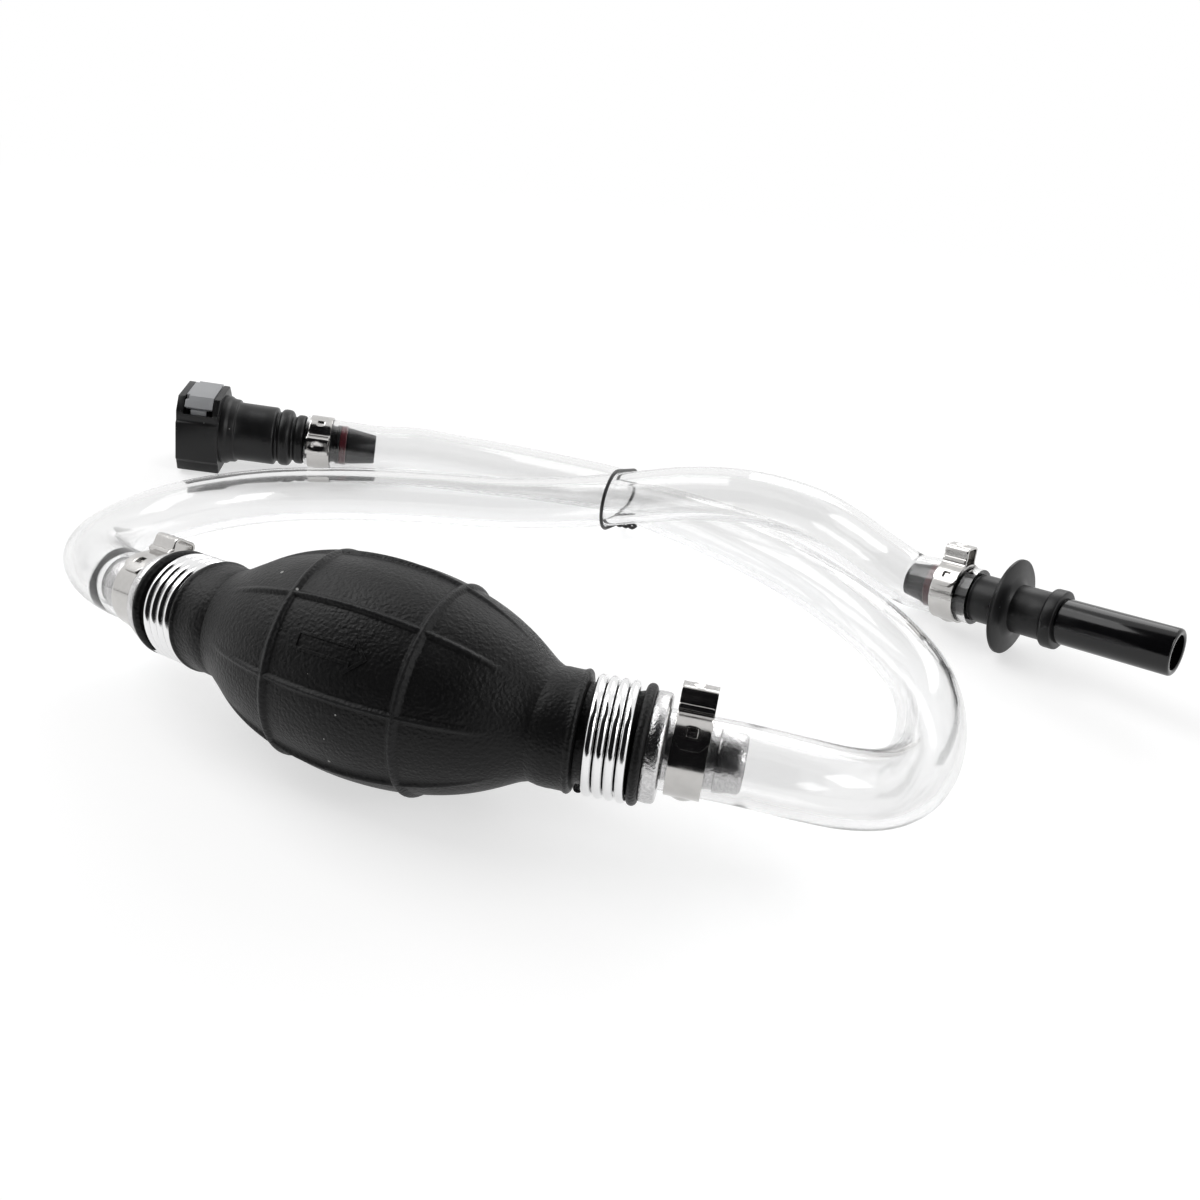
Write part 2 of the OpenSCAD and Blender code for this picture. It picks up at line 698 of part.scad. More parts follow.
// The moulded body: boxy head, round body, two ribs and a barbed stem
module connector_body() {
    color([0.06, 0.06, 0.06])
        at_quick()
            difference() {
                union() {
                    rotate([90, 0, 90])
                        linear_extrude(head_l)
                            head_outline();
                    turn(concat([[head_l - 1, 0], [head_l - 1, body_r + 1.6],
                        [head_l + 1.6, body_r + 1.6], [step_l - 2, body_r + 1],
                        [step_l, body_r + 0.7], [step_l, body_r], [rib_l - 1.4, body_r],
                        [rib_l - 1, body_r - 1.4], [rib_l, body_r - 1.4], [rib_l, body_r - 0.7],
                        [rib_l + 0.4, body_r - 0.3], [rib_l + 3.4, body_r - 0.3],
                        [rib_l + 3.8, body_r - 0.7], [rib_l + 3.8, body_r - 2.4],
                        [rib2_l, body_r - 2.4], [rib2_l, body_r - 1.8],
                        [rib2_l + 0.4, body_r - 1.5], [stem_0 - 0.5, body_r - 1.5],
                        [stem_0, body_r - 2]],
                        [[stem_0, spigot_r]],
                        barbs(stem_0 + 2.4, 3.2, 2, spigot_r, barb_r),
                        [[q_ring_l - 2.2, spigot_r], [q_ring_l - 2.2, barb_r],
                            [q_ring_l - 1.1, barb_r], [q_ring_l - 1.1, spigot_r - 1.1],
                            [q_ring_l + 1.1, spigot_r - 1.1], [q_ring_l + 1.1, spigot_r],
                            [q_ring_l + 2.4, spigot_r], [stem_1, spigot_r - 1.3], [stem_1, 0]]));
                }
                rod(-e, socket_l, socket_r);
                rod(socket_l - e, stem_1 + e, flow_r);
                rod(seal_l, seal_l + 2 * seal_w + spacer_w, socket_r + 2);
                translate([saddle_x0 - gap, 0, 0])
                    rotate([90, 0, 90])
                        linear_extrude(saddle_x1 - saddle_x0 + 2 * gap)
                            polygon(both_sides(concat([[side_y + 4, head_h]], pocket)));
                for (s = [-1, 1])
                    translate([leg_x0 - gap, s > 0 ? leg_in - gap : -leg_in - leg_t - gap,
                        leg_z - button_travel - gap])
                        cube([leg_x1 - leg_x0 + 2 * gap, leg_t + 2 * gap, side_z - leg_z + 1.5]);
            }
}

// Horseshoe release button: a saddle over the head, on two legs that straddle the socket
module connector_button() {
    color([0.66, 0.67, 0.68])
        at_quick() {
            translate([saddle_x0, 0, 0])
                difference() {
                    rotate([90, 0, 90])
                        linear_extrude(saddle_x1 - saddle_x0)
                            polygon(both_sides(saddle));
                    for (s = [-1, 1])
                        translate([-1, s * top_y - 1.3, top_z - 1])
                            cube([2, 2.6, 3]);
                }
            for (s = [-1, 1])
                translate([leg_x0, s > 0 ? leg_in : -leg_in - leg_t, leg_z])
                    cube([leg_x1 - leg_x0, leg_t, side_z + 0.3 - leg_z]);
        }
}

module socket_seal(l) {
    turn([[l, socket_r + 0.4], [l + 0.4, socket_r + 0.02], [l + seal_w - 0.4, socket_r + 0.02],
        [l + seal_w, socket_r + 0.4], [l + seal_w, socket_r + 2], [l, socket_r + 2]]);
}
module connector_seal_outer() {
    color([0.35, 0.05, 0.08])
        at_quick()
            socket_seal(seal_l);
}
module connector_spacer() {
    color([0.2, 0.2, 0.2])
        at_quick()
            translate([seal_l + seal_w, 0, 0])
                difference() {
                    rod(0, spacer_w, socket_r + 2);
                    rod(-1, spacer_w + 1, socket_r + 0.02);
                }
}
module connector_seal_inner() {
    color([0.08, 0.08, 0.08])
        at_quick()
            socket_seal(seal_l + seal_w + spacer_w);
}

// Ring in the groove of a stem
module stem_ring(l) {
    color([0.35, 0.05, 0.08])
        translate([l, 0, 0])
            turn([[-1.1, spigot_r - 1.1], [1.1, spigot_r - 1.1], [1.1, barb_r - 0.3],
                [0.8, barb_r], [-0.8, barb_r], [-1.1, barb_r - 0.3]]);
}
module connector_stem_ring() {
    at_quick()
        stem_ring(q_ring_l);
}
module connector_clamp() {
    at_quick()
        hose_clamp(q_band_l, 75);
}

// --- male connector ------------------------------------------------------

module male_stem() {
    color([0.06, 0.06, 0.06])
        at_male()
            difference() {
                turn(concat([[m_nose_l, 0], [m_nose_l, spigot_r - 1.4],
                    [m_ring_l - 3, spigot_r - 0.4], [m_ring_l - 1.9, spigot_r],
                    [m_ring_l - 1.1, spigot_r], [m_ring_l - 1.1, spigot_r - 1.1],
                    [m_ring_l + 1.1, spigot_r - 1.1], [m_ring_l + 1.1, barb_r],
                    [m_ring_l + 2, barb_r], [m_ring_l + 2, spigot_r]],
                    [[m_band_l, spigot_r], [m_band_l + 2.4, barb_r], [m_band_l + 2.4, spigot_r],
                        [m_hose_end, spigot_r], [m_hose_end + 0.3, male_body_r],
                        [-disc_t / 2 - 1.4, male_body_r], [-disc_t / 2 - 0.8, male_body_r + 1.2],
                        [-disc_t / 2, disc_r - 0.4], [-disc_t / 2 + 0.3, disc_r],
                        [disc_t / 2 - 0.3, disc_r], [disc_t / 2, disc_r - 0.4],
                        [disc_t / 2 + 0.8, male_body_r + 1.2], [disc_t / 2 + 1.4, male_body_r],
                        [collar_l, male_body_r], [collar_l, collar_r - 0.4],
                        [collar_l + 0.4, collar_r], [collar_l + collar_t - 0.4, collar_r],
                        [collar_l + collar_t, collar_r - 0.4], [collar_l + collar_t, 0]]));
                rod(m_nose_l - e, collar_l - 5, flow_r);
                rod(collar_l - 5 - e, collar_l + collar_t + e, tube_r - tube_wall);
                rod(collar_l, collar_l + collar_t + e, tube_r - tube_step);
            }
}
module male_stem_ring() {
    at_male()
        stem_ring(m_ring_l);
}
module male_clamp() {
    at_male()
        hose_clamp(m_band_l, -5);
}
module male_tube() {
    color([0.04, 0.04, 0.04])
        at_male()
            turn([[collar_l, tube_r - tube_wall], [collar_l, tube_r - tube_step],
                [collar_l + collar_t, tube_r - tube_step], [collar_l + collar_t, tube_r],
                [collar_l + collar_t + tube_l - 0.6, tube_r],
                [collar_l + collar_t + tube_l, tube_r - 0.6],
                [collar_l + collar_t + tube_l, tube_r - tube_wall]]);
}

bulb();
front_panel();
back_panel();
inlet_valve_body();
inlet_valve_seat();
inlet_poppet();
inlet_spring();
inlet_valve_cage();
outlet_valve_body();
outlet_valve_seat();
outlet_poppet();
outlet_spring();
outlet_valve_cage();
inlet_neck_clamp();
outlet_neck_clamp();
inlet_hose_clamp();
outlet_hose_clamp();
inlet_hose();
outlet_hose();
hose_tie();
connector_body();
connector_button();
connector_seal_outer();
connector_spacer();
connector_seal_inner();
connector_stem_ring();
connector_clamp();
male_stem();
male_stem_ring();
male_clamp();
male_tube();
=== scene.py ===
import math

import bpy
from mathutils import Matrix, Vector


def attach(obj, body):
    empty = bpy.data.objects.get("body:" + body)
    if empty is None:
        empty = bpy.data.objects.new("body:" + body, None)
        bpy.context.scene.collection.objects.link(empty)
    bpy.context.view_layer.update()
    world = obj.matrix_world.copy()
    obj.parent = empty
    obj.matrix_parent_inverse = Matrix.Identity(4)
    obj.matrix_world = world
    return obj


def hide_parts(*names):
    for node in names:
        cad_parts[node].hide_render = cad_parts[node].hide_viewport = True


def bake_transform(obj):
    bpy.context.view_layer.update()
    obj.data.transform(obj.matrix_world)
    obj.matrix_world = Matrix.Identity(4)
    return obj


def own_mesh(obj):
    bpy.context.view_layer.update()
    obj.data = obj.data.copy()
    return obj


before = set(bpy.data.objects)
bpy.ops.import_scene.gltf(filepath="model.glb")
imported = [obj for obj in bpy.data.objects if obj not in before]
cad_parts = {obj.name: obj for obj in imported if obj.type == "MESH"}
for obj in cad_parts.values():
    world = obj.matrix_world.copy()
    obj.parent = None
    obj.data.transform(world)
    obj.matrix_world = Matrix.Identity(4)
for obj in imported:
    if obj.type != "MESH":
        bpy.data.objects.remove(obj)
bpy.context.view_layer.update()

# ------------------------------------------------------------------ camera
# The camera stands in front of the bulb, a little to its right, and looks
# down and to the left, so that the bulb lies in front and the hoses behind.
bpy.ops.object.select_all(action="DESELECT")
bpy.ops.object.camera_add(
    location=(0.09747, -0.16752, 0.14702),
    rotation=(math.radians(61.69), math.radians(-6.262), math.radians(21.209)),
)
camera = bpy.context.object
camera.data.lens = 33.0
camera.data.sensor_width = 36.0
camera.data.clip_start = 0.005
bpy.context.scene.camera = camera
bpy.context.scene.view_settings.view_transform = "Standard"

# ------------------------------------------------------------------ studio
# A white table top under three soft boxes: a large one above on the left, a
# narrow one low on the right and one behind. Black cloth round the camera
# gives metal and gloss their dark bands.


def add_node(tree, kind, inputs=(), **settings):
    """A shader node, its settings made and its inputs linked or set."""
    made = tree.nodes.new(kind)
    for key, value in settings.items():
        setattr(made, key, value)
    for key, value in dict(inputs).items():
        if isinstance(value, bpy.types.NodeSocket):
            tree.links.new(value, made.inputs[key])
        else:
            made.inputs[key].default_value = value
    return made


def new_material(name):
    """An empty material and its node tree."""
    material = bpy.data.materials.new(name)
    material.use_nodes = True
    tree = material.node_tree
    tree.nodes.clear()
    return material, tree


def seen_or_mirrored(tree):
    """1 for what the camera, metal and glass see, and 0 for light that only falls."""
    path = add_node(tree, "ShaderNodeLightPath")
    camera_ray, clear_ray = path.outputs["Is Camera Ray"], path.outputs["Is Transmission Ray"]
    seen = add_node(tree, "ShaderNodeMath", {0: camera_ray, 1: clear_ray}, operation="MAXIMUM")
    mirrored = path.outputs["Is Glossy Ray"]
    seen = add_node(tree, "ShaderNodeMath", {0: seen.outputs[0], 1: mirrored}, operation="MAXIMUM")
    return seen.outputs[0]


# The table lights the object as plain white paint. Where it is looked at, it
# is paler and keeps a soft shadow, and further off it fades to pure white.
table_top, tree = new_material("white table")
seen = seen_or_mirrored(tree)
paint = add_node(tree, "ShaderNodeBsdfDiffuse", {"Color": (0.74, 0.74, 0.745, 1)})
thin = add_node(tree, "ShaderNodeBsdfDiffuse", {"Color": (0.46, 0.46, 0.46, 1)})
glow = add_node(tree, "ShaderNodeEmission", {"Color": (1, 1, 1, 1), "Strength": 0.62})
lift = add_node(tree, "ShaderNodeAddShader", {0: thin.outputs[0], 1: glow.outputs[0]})
mixed = add_node(tree, "ShaderNodeMixShader", {0: seen, 1: paint.outputs[0], 2: lift.outputs[0]})
fade_start, fade_end = 0.32, 0.9
coords = add_node(tree, "ShaderNodeTexCoord")
reach = add_node(tree, "ShaderNodeVectorMath", {0: coords.outputs["Object"]}, operation="LENGTH")
spread = {"Value": reach.outputs["Value"], "From Min": fade_start, "From Max": fade_end}
far = add_node(tree, "ShaderNodeMapRange", spread, interpolation_type="SMOOTHSTEP")
sweep = add_node(tree, "ShaderNodeMath", {0: far.outputs["Result"], 1: seen}, operation="MULTIPLY")
bright = add_node(tree, "ShaderNodeEmission", {"Color": (1, 1, 1, 1), "Strength": 1.0})
mixed = add_node(
    tree, "ShaderNodeMixShader", {0: sweep.outputs[0], 1: mixed.outputs[0], 2: bright.outputs[0]}
)
add_node(tree, "ShaderNodeOutputMaterial", {"Surface": mixed.outputs[0]})

bpy.ops.mesh.primitive_plane_add(size=6, location=(0, 0, -0.0002))
floor = bpy.context.object
floor.name = "floor"
floor.data.materials.append(table_top)

world = bpy.data.worlds.new("studio")
world.use_nodes = True
bpy.context.scene.world = world
tree = world.node_tree
tree.nodes.clear()
seen = seen_or_mirrored(tree)
room = add_node(tree, "ShaderNodeBackground", {"Color": (1, 1, 1, 1), "Strength": 0.4})
white = add_node(tree, "ShaderNodeBackground", {"Color": (1, 1, 1, 1), "Strength": 1.0})
mixed = add_node(tree, "ShaderNodeMixShader", {0: seen, 1: room.outputs[0], 2: white.outputs[0]})
add_node(tree, "ShaderNodeOutputWorld", {"Surface": mixed.outputs[0]})

lit_point = Vector((0, 0.04, 0))
for name, place, size, energy in (
    ("soft_box_left", (-0.6, 0.05, 0.8), 0.7, 4.5),
    ("soft_box_right", (0.8, -0.1, 0.5), 0.35, 1.7),
    ("soft_box_back", (0.1, 0.9, 0.7), 0.6, 2.6),
):
    bpy.ops.object.light_add(type="AREA", location=place)
    lamp = bpy.context.object
    lamp.name = name
    lamp.data.shape = "SQUARE"
    lamp.data.size = size
    lamp.data.energy = energy
    lamp.rotation_euler = (lit_point - Vector(place)).to_track_quat("-Z", "Y").to_euler()

# Black cloth on the table, behind and over the camera, which only metal,
# gloss and glass see
cloth_width = 2.4
black_cloth, tree = new_material("black cloth")
cloth = add_node(tree, "ShaderNodeBsdfDiffuse", {"Color": (0.012, 0.012, 0.013, 1)})
add_node(tree, "ShaderNodeOutputMaterial", {"Surface": cloth.outputs[0]})
for name, place, lean, depth in (
    ("cloth_on_table", (0.05, -0.70, 0.0006), 0, 1.0),
    ("cloth_behind", (0.05, -0.85, 0.62), 63, 1.4),
    ("cloth_above", (0.05, -0.17, 1.25), 0, 0.75),
):
    bpy.ops.object.select_all(action="DESELECT")
    bpy.ops.mesh.primitive_plane_add(size=1, location=place, rotation=(math.radians(lean), 0, 0))
    drape = bpy.context.object
    drape.name = name
    drape.scale = (cloth_width, depth, 1)
    drape.data.materials.append(black_cloth)
    drape.visible_camera = False
    drape.visible_diffuse = False
    drape.visible_shadow = False

# ------------------------------------------------------------ squeeze bulb
# One hollow moulding in black rubber, with two ring ribs and eight long ribs
# that fade towards the necks. The hand presses its front and back walls in,
# so the skin is made in a front and a back half.
bulb_middle = Vector((-0.00065, 0, 0.0231))
bulb_radius, bulb_half, bulb_end = 0.023, 0.040, 0.0116
inlet_bend, outlet_bend = -0.0365, 0.039
rib_height, rib_turn, ring_place = 0.0008, 16.0, 0.0142
ring_half_width, rib_half_width, rib_reach = 0.00115, 0.00085, 0.031
rib_step, rib_sides = 45, 22
skin_sides, skin_thick = 8 * rib_sides, 0.003


def skin_radius(x):
    """The egg's radius, eased into the round end of each neck."""
    egg = bulb_radius * math.sqrt(max(0.0, 1 - (x / bulb_half) ** 2))
    return (egg ** 8 + bulb_end ** 8) ** 0.125


def ridge(distance, half_width):
    """A rib's section, from 1 on its crest to 0 at its soft feet."""
    return max(0.0, 1 - (distance / half_width) ** 2) ** 1.5


def rib_rise(x, angle):
    """How far the ribs stand up at a place on the skin, from 0 to 1."""
    ring = max(ridge(x - ring_place, ring_half_width), ridge(x + ring_place, ring_half_width))
    off = (math.degrees(angle) - rib_turn + rib_step / 2) % rib_step - rib_step / 2
    fade = max(0.0, 1 - abs(x / rib_reach) ** 3)
    long = ridge(math.radians(off) * skin_radius(x), rib_half_width) * fade
    return max(ring, long)


def lathe(name, outline, sides):
    """A piece turned about X: a circle drawn out and scaled to each (place, radius)."""
    bpy.ops.object.select_all(action="DESELECT")
    place, radius = outline[0]
    bpy.ops.mesh.primitive_circle_add(
        vertices=sides, radius=radius, location=(place, 0, 0), rotation=(0, math.pi / 2, 0)
    )
    piece = bpy.context.object
    piece.name = name
    bpy.ops.object.transform_apply(location=True, rotation=True, scale=True)
    bpy.ops.object.mode_set(mode="EDIT")
    bpy.ops.mesh.select_all(action="SELECT")
    for next_place, next_radius in outline[1:]:
        bpy.ops.mesh.extrude_region_move(
            TRANSFORM_OT_translate={"value": (next_place - place, 0, 0)}
        )
        share = next_radius / radius
        bpy.ops.transform.resize(value=(1, share, share), center_override=(next_place, 0, 0))
        place, radius = next_place, next_radius
    bpy.ops.mesh.select_all(action="SELECT")
    bpy.ops.mesh.remove_doubles(threshold=1e-6)
    bpy.ops.mesh.normals_make_consistent(inside=False)
    bpy.ops.object.mode_set(mode="OBJECT")
    return piece


def only(piece):
    """Leaves one piece selected and active."""
    bpy.ops.object.select_all(action="DESELECT")
    piece.select_set(True)
    bpy.context.view_layer.objects.active = piece


def apply_modifier(piece, kind, **settings):
    only(piece)
    modifier = piece.modifiers.new("shaping", kind)
    for key, value in settings.items():
        setattr(modifier, key, value)
    bpy.ops.object.modifier_apply(modifier=modifier.name)


def smooth(piece, angle):
    """Smooth shading, with sharp edges kept above an angle in degrees."""
    only(piece)
    bpy.ops.object.shade_smooth_by_angle(angle=math.radians(angle))


# Rings of points along the bulb, close together over the two ring ribs
coarse = [inlet_bend + i * 0.0014 for i in range(54)]
fine = [s * ring_place + i * 0.0002 for s in (-1, 1) for i in range(-8, 9)]
places = sorted(
    [x for x in coarse if min(abs(x - ring_place), abs(x + ring_place)) > 0.0019] + fine
)
skin = lathe("bulb_front", [(x, skin_radius(x)) for x in places + [outlet_bend]], sides=skin_sides)

# The circle's points are drawn together at each long rib before the ribs rise
offsets = [0, 0.5, 1, 1.5, 2, 2.6, 3.4, 5, 8, 12, 17, 22.5]
offsets = [-a for a in offsets[:0:-1]] + offsets[:-1]
# How far each point is raised is kept, for the painted highlight on the rib crests
raised = skin.data.attributes.new("raised", "FLOAT", "POINT")
for vertex in skin.data.vertices:
    x, y, z = vertex.co
    step = round(math.degrees(math.atan2(z, -y)) * skin_sides / 360) % skin_sides
    angle = math.radians(rib_turn + rib_step * (step // rib_sides) + offsets[step % rib_sides])
    rise = rib_rise(x, angle)
    radius = skin_radius(x) + rib_height * rise
    vertex.co = bulb_middle + Vector((x, -radius * math.cos(angle), radius * math.sin(angle)))
    raised.data[vertex.index].value = rise

only(skin)
bpy.ops.object.duplicate()
skin_back = bpy.context.object
skin_back.name = "bulb_back"
for half, keep_front in ((skin, True), (skin_back, False)):
    only(half)
    bpy.ops.object.mode_set(mode="EDIT")
    bpy.ops.mesh.select_all(action="SELECT")
    bpy.ops.mesh.bisect(
        plane_co=(0, 0, 0), plane_no=(0, 1, 0), clear_outer=keep_front, clear_inner=not keep_front
    )
    bpy.ops.object.mode_set(mode="OBJECT")
    apply_modifier(half, "SOLIDIFY", thickness=skin_thick, offset=-1)
    smooth(half, 60)


def new_group(name, inputs, outputs):
    """A shared effect with named inputs and outputs, and its two end nodes."""
    group = bpy.data.node_groups.new(name, "ShaderNodeTree")
    for label, value in inputs:
        socket = group.interface.new_socket(
            name=label, in_out="INPUT", socket_type="NodeSocketFloat"
        )
        socket.default_value = value
    for label in outputs:
        group.interface.new_socket(name=label, in_out="OUTPUT", socket_type="NodeSocketFloat")
    return group, add_node(group, "NodeGroupInput"), add_node(group, "NodeGroupOutput")


# Grain of a textured mould, in pebbles with fine creases, and a slow mottle
grain_group, given, result = new_group(
    "moulded grain",
    [("Pebble Scale", 1500.0), ("Fine Scale", 4200.0), ("Mottle Scale", 70.0)],
    ["Height", "Mottle"],
)
coords = add_node(grain_group, "ShaderNodeTexCoord")
warp = add_node(
    grain_group, "ShaderNodeTexNoise",
    {"Vector": coords.outputs["Object"], "Scale": 900.0, "Detail": 1.0},
)
bent = add_node(
    grain_group, "ShaderNodeVectorMath", {0: warp.outputs["Color"], "Scale": 0.0007},
    operation="SCALE",
)
moved = add_node(
    grain_group, "ShaderNodeVectorMath", {0: coords.outputs["Object"], 1: bent.outputs[0]},
    operation="ADD",
)
pebble = add_node(
    grain_group, "ShaderNodeTexVoronoi",
    {"Vector": moved.outputs[0], "Scale": given.outputs["Pebble Scale"]}, feature="SMOOTH_F1",
)
creases = add_node(
    grain_group, "ShaderNodeTexNoise",
    {"Vector": coords.outputs["Object"], "Scale": given.outputs["Fine Scale"], "Detail": 3.0},
)
domes = add_node(
    grain_group, "ShaderNodeMath", {0: 1.0, 1: pebble.outputs["Distance"]}, operation="SUBTRACT"
)
both = add_node(
    grain_group, "ShaderNodeMath", {0: creases.outputs["Fac"], 1: 0.45, 2: domes.outputs[0]},
    operation="MULTIPLY_ADD",
)
mottle = add_node(
    grain_group, "ShaderNodeTexNoise",
    {
        "Vector": coords.outputs["Object"], "Scale": given.outputs["Mottle Scale"], "Detail": 5.0,
        "Roughness": 0.6,
    },
)
grain_group.links.new(both.outputs[0], result.inputs["Height"])
grain_group.links.new(mottle.outputs["Fac"], result.inputs["Mottle"])

# Pale dust: sparse specks of different sizes
dust_group, given, result = new_group(
    "dust specks", [("Speck Scale", 600.0), ("Share", 0.12)], ["Mask"]
)
coords = add_node(dust_group, "ShaderNodeTexCoord")
cell = add_node(
    dust_group, "ShaderNodeTexVoronoi",
    {"Vector": coords.outputs["Object"], "Scale": given.outputs["Speck Scale"]}, feature="F1",
)
chance = add_node(dust_group, "ShaderNodeSeparateColor", {"Color": cell.outputs["Color"]})
some = add_node(
    dust_group, "ShaderNodeMath", {0: chance.outputs[0], 1: given.outputs["Share"]},
    operation="LESS_THAN",
)
size = add_node(
    dust_group, "ShaderNodeMath", {0: chance.outputs[1], 1: 0.16}, operation="MULTIPLY"
)
near = add_node(
    dust_group, "ShaderNodeMath", {0: cell.outputs["Distance"], 1: size.outputs[0]},
    operation="LESS_THAN",
)
mask = add_node(
    dust_group, "ShaderNodeMath", {0: some.outputs[0], 1: near.outputs[0]}, operation="MULTIPLY"
)
dust_group.links.new(mask.outputs[0], result.inputs["Mask"])


def place_group(tree, group, **values):
    """A shared effect in a material, with the material's own values."""
    made = tree.nodes.new("ShaderNodeGroup")
    made.node_tree = group
    for key, value in values.items():
        made.inputs[key.replace("_", " ")].default_value = value
    return made


def two_tones(tree, share, first, second):
    """A colour that goes from the first to the second with a mask."""
    mix = {"Factor": share, "A": first, "B": second}
    return add_node(tree, "ShaderNodeMix", mix, data_type="RGBA").outputs["Result"]


def uneven_gloss(tree, grain, low, high):
    """Roughness that wanders between two values with the grain's mottle."""
    spread = {"Value": grain.outputs["Mottle"], "From Min": 0.3, "From Max": 0.7}
    spread.update({"To Min": low, "To Max": high})
    return add_node(tree, "ShaderNodeMapRange", spread).outputs["Result"]


def relief(tree, height, strength, distance):
    """Small ups and downs of the surface, from a height."""
    bump = {"Height": height, "Strength": strength, "Distance": distance}
    return add_node(tree, "ShaderNodeBump", bump).outputs["Normal"]


def surface(tree, **sockets):
    """The material's shader, with its sockets linked or set, and its output."""
    named = {key.replace("_", " "): value for key, value in sockets.items()}
    shader = add_node(tree, "ShaderNodeBsdfPrincipled", named)
    add_node(tree, "ShaderNodeOutputMaterial", {"Surface": shader.outputs[0]})


bulb_rubber, tree = new_material("black rubber")
grain = place_group(tree, grain_group, Pebble_Scale=1500.0, Fine_Scale=4200.0, Mottle_Scale=60.0)
dust = place_group(tree, dust_group, Speck_Scale=420.0, Share=0.05)
lifted = add_node(tree, "ShaderNodeAttribute", attribute_name="raised")
tone = two_tones(
    tree, grain.outputs["Mottle"], (0.002, 0.002, 0.0021, 1), (0.006, 0.006, 0.0063, 1)
)
# The rib crests are painted lighter: a painted highlight along each rib
rib_crest_highlight = add_node(tree, "ShaderNodeMath", {0: lifted.outputs["Fac"], 1: 0.35}, operation="MULTIPLY")
tone = two_tones(tree, rib_crest_highlight.outputs[0], tone, (0.020, 0.020, 0.021, 1))
tone = two_tones(tree, dust.outputs["Mask"], tone, (0.35, 0.35, 0.34, 1))
rough = uneven_gloss(tree, grain, 0.36, 0.5)
bump = relief(tree, grain.outputs["Height"], 0.9, 0.00016)
surface(tree, Base_Color=tone, Roughness=rough, Normal=bump, Specular_IOR_Level=0.22)

for half, wall, side in ((skin, "front_wall", -1), (skin_back, "back_wall", 1)):
    half.data.materials.append(bulb_rubber)
    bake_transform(half)
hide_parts("bulb", "front_panel")
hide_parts("bulb", "back_panel")

# -------------------------------------------------------------- flow arrow
# A thin raised outline of an arrow between two long ribs on the upper front
# of the bulb, cut into the same mould. It shows which way the fluid goes.
arrow_length, arrow_shaft, arrow_line, arrow_turn = 0.0155, 0.0038, 0.0006, 38.5
arrow_thick, arrow_shift, arrow_sink = 0.0008, 0.001, 0.00018
bpy.ops.object.select_all(action="DESELECT")
bpy.ops.mesh.primitive_circle_add(vertices=7, radius=0.005, fill_type="NGON")
arrow = bpy.context.object
arrow.name = "flow_arrow"
half, head, tip = arrow_shaft / 2, arrow_shaft, arrow_length / 2
corners = [
    (-tip, -half), (tip - head, -half), (tip - head, -head), (tip, 0),
    (tip - head, head), (tip - head, half), (-tip, half),
]
for vertex, (x, y) in zip(arrow.data.vertices, corners):
    vertex.co = (x, y, 0)
bpy.ops.object.mode_set(mode="EDIT")
bpy.ops.mesh.select_all(action="SELECT")
bpy.ops.mesh.inset(thickness=arrow_line, depth=0)
bpy.ops.mesh.delete(type="FACE")
bpy.ops.mesh.select_all(action="SELECT")
bpy.ops.mesh.subdivide(number_cuts=9)
bpy.ops.object.mode_set(mode="OBJECT")
apply_modifier(arrow, "SOLIDIFY", thickness=arrow_thick, offset=0)
apply_modifier(arrow, "BEVEL", width=0.00012, segments=2, limit_method="ANGLE", angle_limit=0.7)
for vertex in arrow.data.vertices:
    x, y, z = vertex.co
    x -= arrow_shift
    radius = skin_radius(x) + z - arrow_sink
    angle = math.radians(arrow_turn) + y / radius
    vertex.co = bulb_middle + Vector((x, -radius * math.cos(angle), radius * math.sin(angle)))
smooth(arrow, 50)
arrow.data.materials.append(bulb_rubber)
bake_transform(arrow)

# ------------------------------------------------------------------- necks
# The bulb narrows into two necks of the same rubber, each a little bent
# towards the back. A step, a groove for the wire clamp and a thick rounded
# end bead are moulded into each; the bore grips the valve body.
neck_radius, groove_radius, neck_bore, dome_radius = 0.012, 0.010, 0.0074, 0.01205
bead_at, bead_middle, bead_round = 0.0167, 0.0110, 0.00105
inlet_bend_angles = dict(tilt=math.radians(7), yaw=math.radians(167))
outlet_bend_angles = dict(tilt=0.0, yaw=math.radians(10))
inlet_direction = Vector((-0.967107, 0.223274, -0.121869))
outlet_direction = Vector((0.984808, 0.173648, 0))
inlet_at = bulb_middle + Vector((inlet_bend, 0, 0)) + inlet_direction * 0.0015
outlet_at = bulb_middle + Vector((outlet_bend, 0, 0))


def set_down(piece, at, tilt=0.0, yaw=0.0, turn=0.0):
    """Turns a piece made along X into its place, and leaves its object at the origin."""
    only(piece)
    piece.location = at
    piece.rotation_euler = (turn, tilt, yaw)
    bpy.ops.object.transform_apply(location=True, rotation=True, scale=True)


def neck_outline(bend):
    """The neck's section as (place, radius), from its domed root to its bore."""
    dome = [
        (bend - dome_radius * math.sin(math.radians(a)), dome_radius * math.cos(math.radians(a)))
        for a in range(40, -1, -8)
    ]
    step = [
        (0.0029, 0.0120), (0.0033, 0.0121), (0.0036, 0.0123), (0.0040, 0.0124), (0.0043, 0.0123),
        (0.0046, 0.0120), (0.00475, 0.0115), (0.0048, 0.0104), (0.0050, groove_radius),
    ]
    groove = [(x, groove_radius) for x in (0.0080, 0.0120, 0.0146)]
    groove += [(0.0150, 0.0102), (0.0155, 0.0103)]
    bead = []
    for a in range(200, -31, -23):
        out, up = math.cos(math.radians(a)), math.sin(math.radians(a))
        bead.append((bead_at + bead_round * out, bead_middle + bead_round * up))
    end = [
        (0.0177, groove_radius), (0.0177, neck_bore), (bend - 0.003, neck_bore),
        (bend - 0.0075, 0.0082),
    ]
    return dome + [(bend + 0.0012, neck_radius)] + step + groove + bead + end + [dome[0]]


